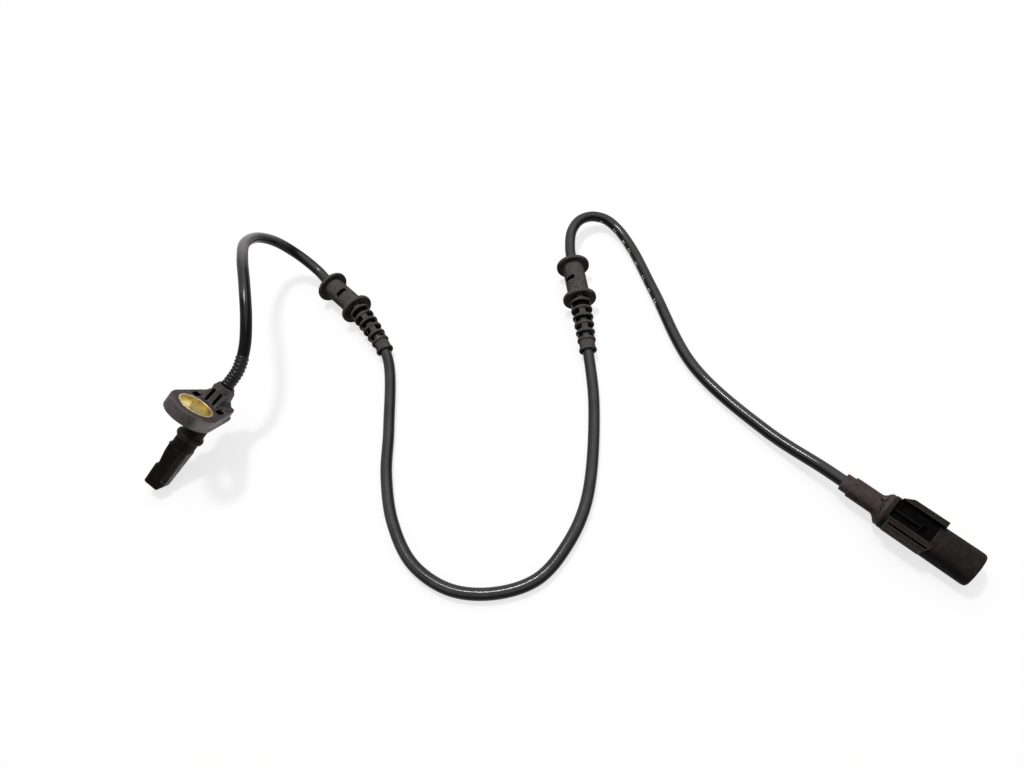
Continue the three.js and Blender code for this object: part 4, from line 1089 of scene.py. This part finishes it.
def rear_moulding():
    shoulder = REAR_START + REAR_NECK_LENGTH
    spigot_end = REAR_FACE + REAR_SPIGOT_LENGTH
    body = turned(rounded([
        (0, REAR_START), (REAR_NECK_RADIUS, REAR_START), (REAR_NECK_RADIUS, shoulder),
        (REAR_NECK_RADIUS + 0.7, shoulder + SHOULDER_LENGTH * 0.3),
        (SHOULDER_RADIUS - 0.5, shoulder + SHOULDER_LENGTH * 0.65),
        (SHOULDER_RADIUS, shoulder + SHOULDER_LENGTH * 0.8), (SHOULDER_RADIUS, HOUSING_START),
        (REAR_SPIGOT_RADIUS, HOUSING_START), (REAR_SPIGOT_RADIUS, spigot_end), (0, spigot_end),
    ], [0, 0.3, 0.4, 0.4, 0.4, 0.4, 0.05, 0.05, 0.3, 0]))
    gate = rod(GATE_RADIUS, 0, SHOULDER_RADIUS - 0.4, 0.3, 24)
    moved(gate, rotation("Z", GATE_ANGLE) @ rotation("Y", 90))
    moved(gate, Matrix.Translation((0, 0, shoulder + GATE_RADIUS)))
    body = joined(body, gate)
    piece = cut(
        body,
        rod(CABLE_RADIUS + GAP, REAR_START - CUTTER_REACH, JACKET_END + GAP),
        rod(WIRE_BORE + GAP, JACKET_END, spigot_end + CUTTER_REACH))
    softened(piece, CONNECTOR_VOXEL)
    lumpy(piece, shoulder, HOUSING_START - 0.3, SHOULDER_LUMPS)
    return finished(
        moved(piece, CONNECTOR), "rear_moulding", REAR_LOOK,
        ["connector_rear_moulding"])


RECESS_SIDES = (-GUARD_HALF_SPAN + DECK_WIDTH, GUARD_HALF_SPAN - RAIL_WIDTH)
GUARD_SPAN = (HOUSING_START + GUARD_START, HOUSING_START + GUARD_START + GUARD_LENGTH)
RECESS_SPAN = (HOUSING_START + RECESS_MARGIN, GUARD_SPAN[1] - RECESS_MARGIN)
LINE_SPAN = about(-GUARD_HALF_SPAN + DECK_LINE_X, DECK_LINE_WIDTH)


def barrel():
    body = rod(BARREL_RADIUS, HOUSING_START, MOUTH)
    mouth_edge = turned(rounded([
        (0, HOUSING_START + 1), (BARREL_RADIUS, HOUSING_START + 1), (BARREL_RADIUS, MOUTH), (0, MOUTH),
    ], [0, 0, MOUTH_EDGE, 0], 6))
    rear_edge = rod(BARREL_RADIUS, HOUSING_START, MOUTH - 5, REAR_EDGE)
    return combined(body, "INTERSECT", [joined(mouth_edge, rear_edge)])


def guard():
    """The guard on the latch side: a wide deck, a recess and a rail, seen along the axis."""
    left, right = RECESS_SIDES
    start, end = GUARD_SPAN
    half = GUARD_HALF_SPAN
    section = slab([
        (-half, GUARD_BOTTOM), (half, GUARD_BOTTOM), (half, RAIL_TOP), (right, RAIL_TOP),
        (right, RECESS_FLOOR), (left, RECESS_FLOOR), (left, DECK_TOP), (-half, DECK_TOP),
    ], start, end)
    rail_corner = cross_cutter([
        (half - RAIL_CORNER_WIDTH, start), (half, start + RAIL_CORNER_LENGTH),
        (half + 1, start + RAIL_CORNER_LENGTH), (half + 1, start - 1),
        (half - RAIL_CORNER_WIDTH, start - 1),
    ], RAIL_TOP + 1)
    deck_slant = cross_cutter([
        (-half, end - DECK_SLANT_LENGTH), (-half + DECK_SLANT_WIDTH, end),
        (-half + DECK_SLANT_WIDTH, end + 1), (-half - 1, end + 1),
        (-half - 1, end - DECK_SLANT_LENGTH),
    ], RAIL_TOP + 1)
    return cut(section, rail_corner, deck_slant)


def latch():
    """The rib in the recess and the sloping nose at its end."""
    bottom = RECESS_FLOOR - LATCH_SINK
    start, end = RECESS_SPAN[0] - LATCH_SINK, RECESS_SPAN[0] + LATCH_RIB_LENGTH
    rib = block(about(LATCH_RIB_X, LATCH_RIB_WIDTH), (bottom, LATCH_RIB_TOP), (start, end))
    low, high = end - LATCH_SINK, end - LATCH_SINK + LATCH_NOSE_LENGTH
    nose = side_slab(
        [(bottom, low), (LATCH_RIB_TOP, low), (RECESS_FLOOR, high), (bottom, high)],
        *about(LATCH_RIB_X, LATCH_NOSE_WIDTH))
    return rib, nose


def in_recess(place):
    """True in the recess beside the latch and in the line along the deck."""
    left, right = RECESS_SIDES
    start, end = RECESS_SPAN
    recess = (
        left - 0.1 < place.x < right + 0.1 and RECESS_FLOOR - 0.3 < place.y < RAIL_TOP - 0.3
        and start - 0.1 < place.z < end + 0.1)
    line = (
        LINE_SPAN[0] - 0.05 < place.x < LINE_SPAN[1] + 0.05
        and DECK_TOP - DECK_LINE_DEPTH - 0.1 < place.y < DECK_TOP - 0.12)
    return recess or line


def connector_housing():
    recess = block(RECESS_SIDES, (RECESS_FLOOR, RAIL_TOP + 1), RECESS_SPAN)
    deck_line = block(
        LINE_SPAN, (DECK_TOP - DECK_LINE_DEPTH, DECK_TOP + 1),
        (GUARD_SPAN[0] + 1, GUARD_SPAN[1] - DECK_SLANT_LENGTH / 2))
    web = HOUSING_START + REAR_CAVITY_DEPTH
    holes = [
        rod(PIN_BODY_RADIUS + GAP, web - 1, MOUTH - SOCKET_DEPTH + 1, x=x, sides=48)
        for x in (-PIN_SPREAD, PIN_SPREAD)]
    body = cut(joined(barrel(), guard()), recess)
    piece = cut(
        joined(body, *latch()), deck_line,
        rod(REAR_SPIGOT_RADIUS + GAP, HOUSING_START - CUTTER_REACH, web),
        rod(SOCKET_RADIUS, MOUTH - SOCKET_DEPTH, MOUTH + CUTTER_REACH), *holes)
    softened(piece, CONNECTOR_VOXEL)
    shaded = [in_recess(face.center) for face in piece.data.polygons]
    finished(
        moved(piece, CONNECTOR), "connector_body", CONNECTOR_LOOK,
        ["connector_housing"])
    # The recess and the deck's line get painted shade.
    paint(piece, RECESS_SHADE_LOOK, shaded)
    return piece


def pin(side, node):
    start = HOUSING_START + TERMINAL_START
    crimp_end = start + TERMINAL_CRIMP_LENGTH
    body_end = crimp_end + PIN_BODY_LENGTH
    pin_end = body_end + PIN_LENGTH
    wire_hole = CORE_RADIUS + GAP
    profile = rounded([
        (0, crimp_end - 0.6), (wire_hole, crimp_end - 0.6), (wire_hole, start),
        (TERMINAL_CRIMP_RADIUS, start), (TERMINAL_CRIMP_RADIUS, crimp_end),
        (PIN_BODY_RADIUS, crimp_end + 0.4), (PIN_BODY_RADIUS, body_end), (PIN_RADIUS, body_end + 0.3),
        (PIN_RADIUS, pin_end - 0.8), (PIN_RADIUS * 0.4, pin_end), (0, pin_end)], 0.15)
    piece = moved(turned(profile, 48), Matrix.Translation((side * PIN_SPREAD, 0, 0)))
    return finished(
        moved(piece, CONNECTOR), node.replace("terminal", "pin"), TIN_LOOK,
        [node], sharp=50)


def dress_inner_nodes():
    """The pieces hidden in the head and the connector keep their solids and get their looks."""
    looks = {
        "sensor_carrier": CARRIER_LOOK, "hall_sensor_ic": CHIP_LOOK, "terminal_lock": LOCK_LOOK}
    for wire, core_look in (("supply", SUPPLY_LOOK), ("signal", SIGNAL_LOOK)):
        looks[f"ic_lead_{wire}"] = looks[f"crimp_{wire}"] = TIN_LOOK
        looks[f"head_core_{wire}"] = looks[f"connector_core_{wire}"] = core_look
    for name, look in looks.items():
        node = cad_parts[name]
        for slot in node.material_slots:
            slot.material = look


# Stage

CAMERA_LOOK = (0.07144, 0.10859, 0.0)
CAMERA_DISTANCE = 0.348
CAMERA_ELEVATION = 57
CAMERA_AZIMUTH = 142.8  # of the line of sight along the floor, from +X towards +Y
CAMERA_ROLL = -10
PICTURE_WIDTH = 1024
FOCAL_PIXELS = 780
SENSOR_WIDTH = 36


def add_camera():
    azimuth, elevation = math.radians(CAMERA_AZIMUTH), math.radians(CAMERA_ELEVATION)
    sight = Vector((
        math.cos(azimuth) * math.cos(elevation), math.sin(azimuth) * math.cos(elevation),
        -math.sin(elevation)))
    level = sight.cross(Vector((0, 0, 1))).normalized()
    above = level.cross(sight)
    roll = math.radians(CAMERA_ROLL)
    right = math.cos(roll) * level + math.sin(roll) * above
    up = -math.sin(roll) * level + math.cos(roll) * above
    data = bpy.data.cameras.new("camera")
    data.sensor_width = SENSOR_WIDTH
    data.lens = FOCAL_PIXELS * SENSOR_WIDTH / PICTURE_WIDTH
    data.clip_start = 0.01
    camera = new_object("camera", data)
    axes = Matrix((right, up, -sight)).transposed().to_4x4()
    camera.matrix_world = Matrix.Translation(Vector(CAMERA_LOOK) - sight * CAMERA_DISTANCE) @ axes
    bpy.context.scene.camera = camera
    return right, sight


def seen_by_picture(look):
    """1 for what the camera sees directly, in a reflection or through glass."""
    rays = look.node("LightPath").outputs
    total = rays["Is Camera Ray"]
    for name in ("Is Glossy Ray", "Is Transmission Ray"):
        most = look.node("Math")
        most.operation = "MAXIMUM"
        look.link(total, most.inputs[0])
        look.link(rays[name], most.inputs[1])
        total = most.outputs["Value"]
    return total


FLOOR_GLOW = 0.74


def floor_look():
    """White: part of its brightness is its own, so that only soft shadows show on it."""
    look = Look("floor")
    paper = look.node("BsdfDiffuse", Color=(0.92, 0.92, 0.915, 1))
    glow = look.node("Emission", Color=(0.985, 0.985, 0.985, 1))
    mix = look.node("MixShader")
    look.link(look.product(seen_by_picture(look), FLOOR_GLOW), mix.inputs["Fac"])
    look.link(paper.outputs["BSDF"], mix.inputs[1])
    look.link(glow.outputs["Emission"], mix.inputs[2])
    look.link(mix.outputs["Shader"], look.tree.nodes["Material Output"].inputs["Surface"])
    return look.material


def add_floor():
    mesh = bpy.data.meshes.new("floor")
    reach = 4.0
    mesh.from_pydata(
        [(-reach, -reach, 0), (reach, -reach, 0), (reach, reach, 0), (-reach, reach, 0)], [],
        [(0, 1, 2, 3)])
    mesh.materials.append(floor_look())
    floor = new_object("floor", mesh)


WORLD_LIGHT = 0.38


def add_world():
    world = bpy.data.worlds.new("world")
    bpy.context.scene.world = world
    world.use_nodes = True
    background = world.node_tree.nodes["Background"]
    background.inputs["Color"].default_value = (1, 1, 1, 1)
    background.inputs["Strength"].default_value = WORLD_LIGHT


def add_lamp(name, place, aim, size, power):
    data = bpy.data.lights.new(name, "AREA")
    data.shape = "RECTANGLE"
    data.size, data.size_y = size
    data.energy = power
    lamp = new_object(name, data)
    lamp.location = place
    lamp.rotation_euler = (Vector(aim) - Vector(place)).to_track_quat("-Z", "Y").to_euler()


def add_lamps(right, sight):
    """A broad lamp above and beyond the part, and a small bright one that draws the highlights."""
    centre = Vector(CAMERA_LOOK)
    away = Vector((sight.x, sight.y, 0)).normalized()
    across = Vector((right.x, right.y, 0)).normalized()
    add_lamp(
        "softbox", centre + Vector((0, 0, 0.75)) + 0.22 * away + 0.15 * across, centre, (0.8, 0.8),
        2.8)
    add_lamp(
        "highlight", centre + Vector((0, 0, 1.2)) + 0.35 * away - 0.1 * across, centre,
        (0.14, 0.14), 8.5)


right, sight = add_camera()
add_floor()
add_world()
add_lamps(right, sight)

head_housing()
bush()
nose_seal()
strain_relief()
front = grommet("front_grommet", FRONT_GROMMET_STATION, 1, FRONT_SLOT_TURN, "grommet_front")
rear = grommet("rear_grommet", REAR_GROMMET_STATION, -1, REAR_SLOT_TURN, "grommet_rear")
inner = ("terminal_lock", "connector_core_supply", "connector_core_signal")
connector_pieces = [
    entry_collar(), rear_moulding(), connector_housing(), pin(1, "terminal_supply"),
    pin(-1, "terminal_signal"), *(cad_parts[name] for name in inner)]
dress_inner_nodes()
cable()

scene = bpy.context.scene
scene.view_settings.view_transform = "Standard"
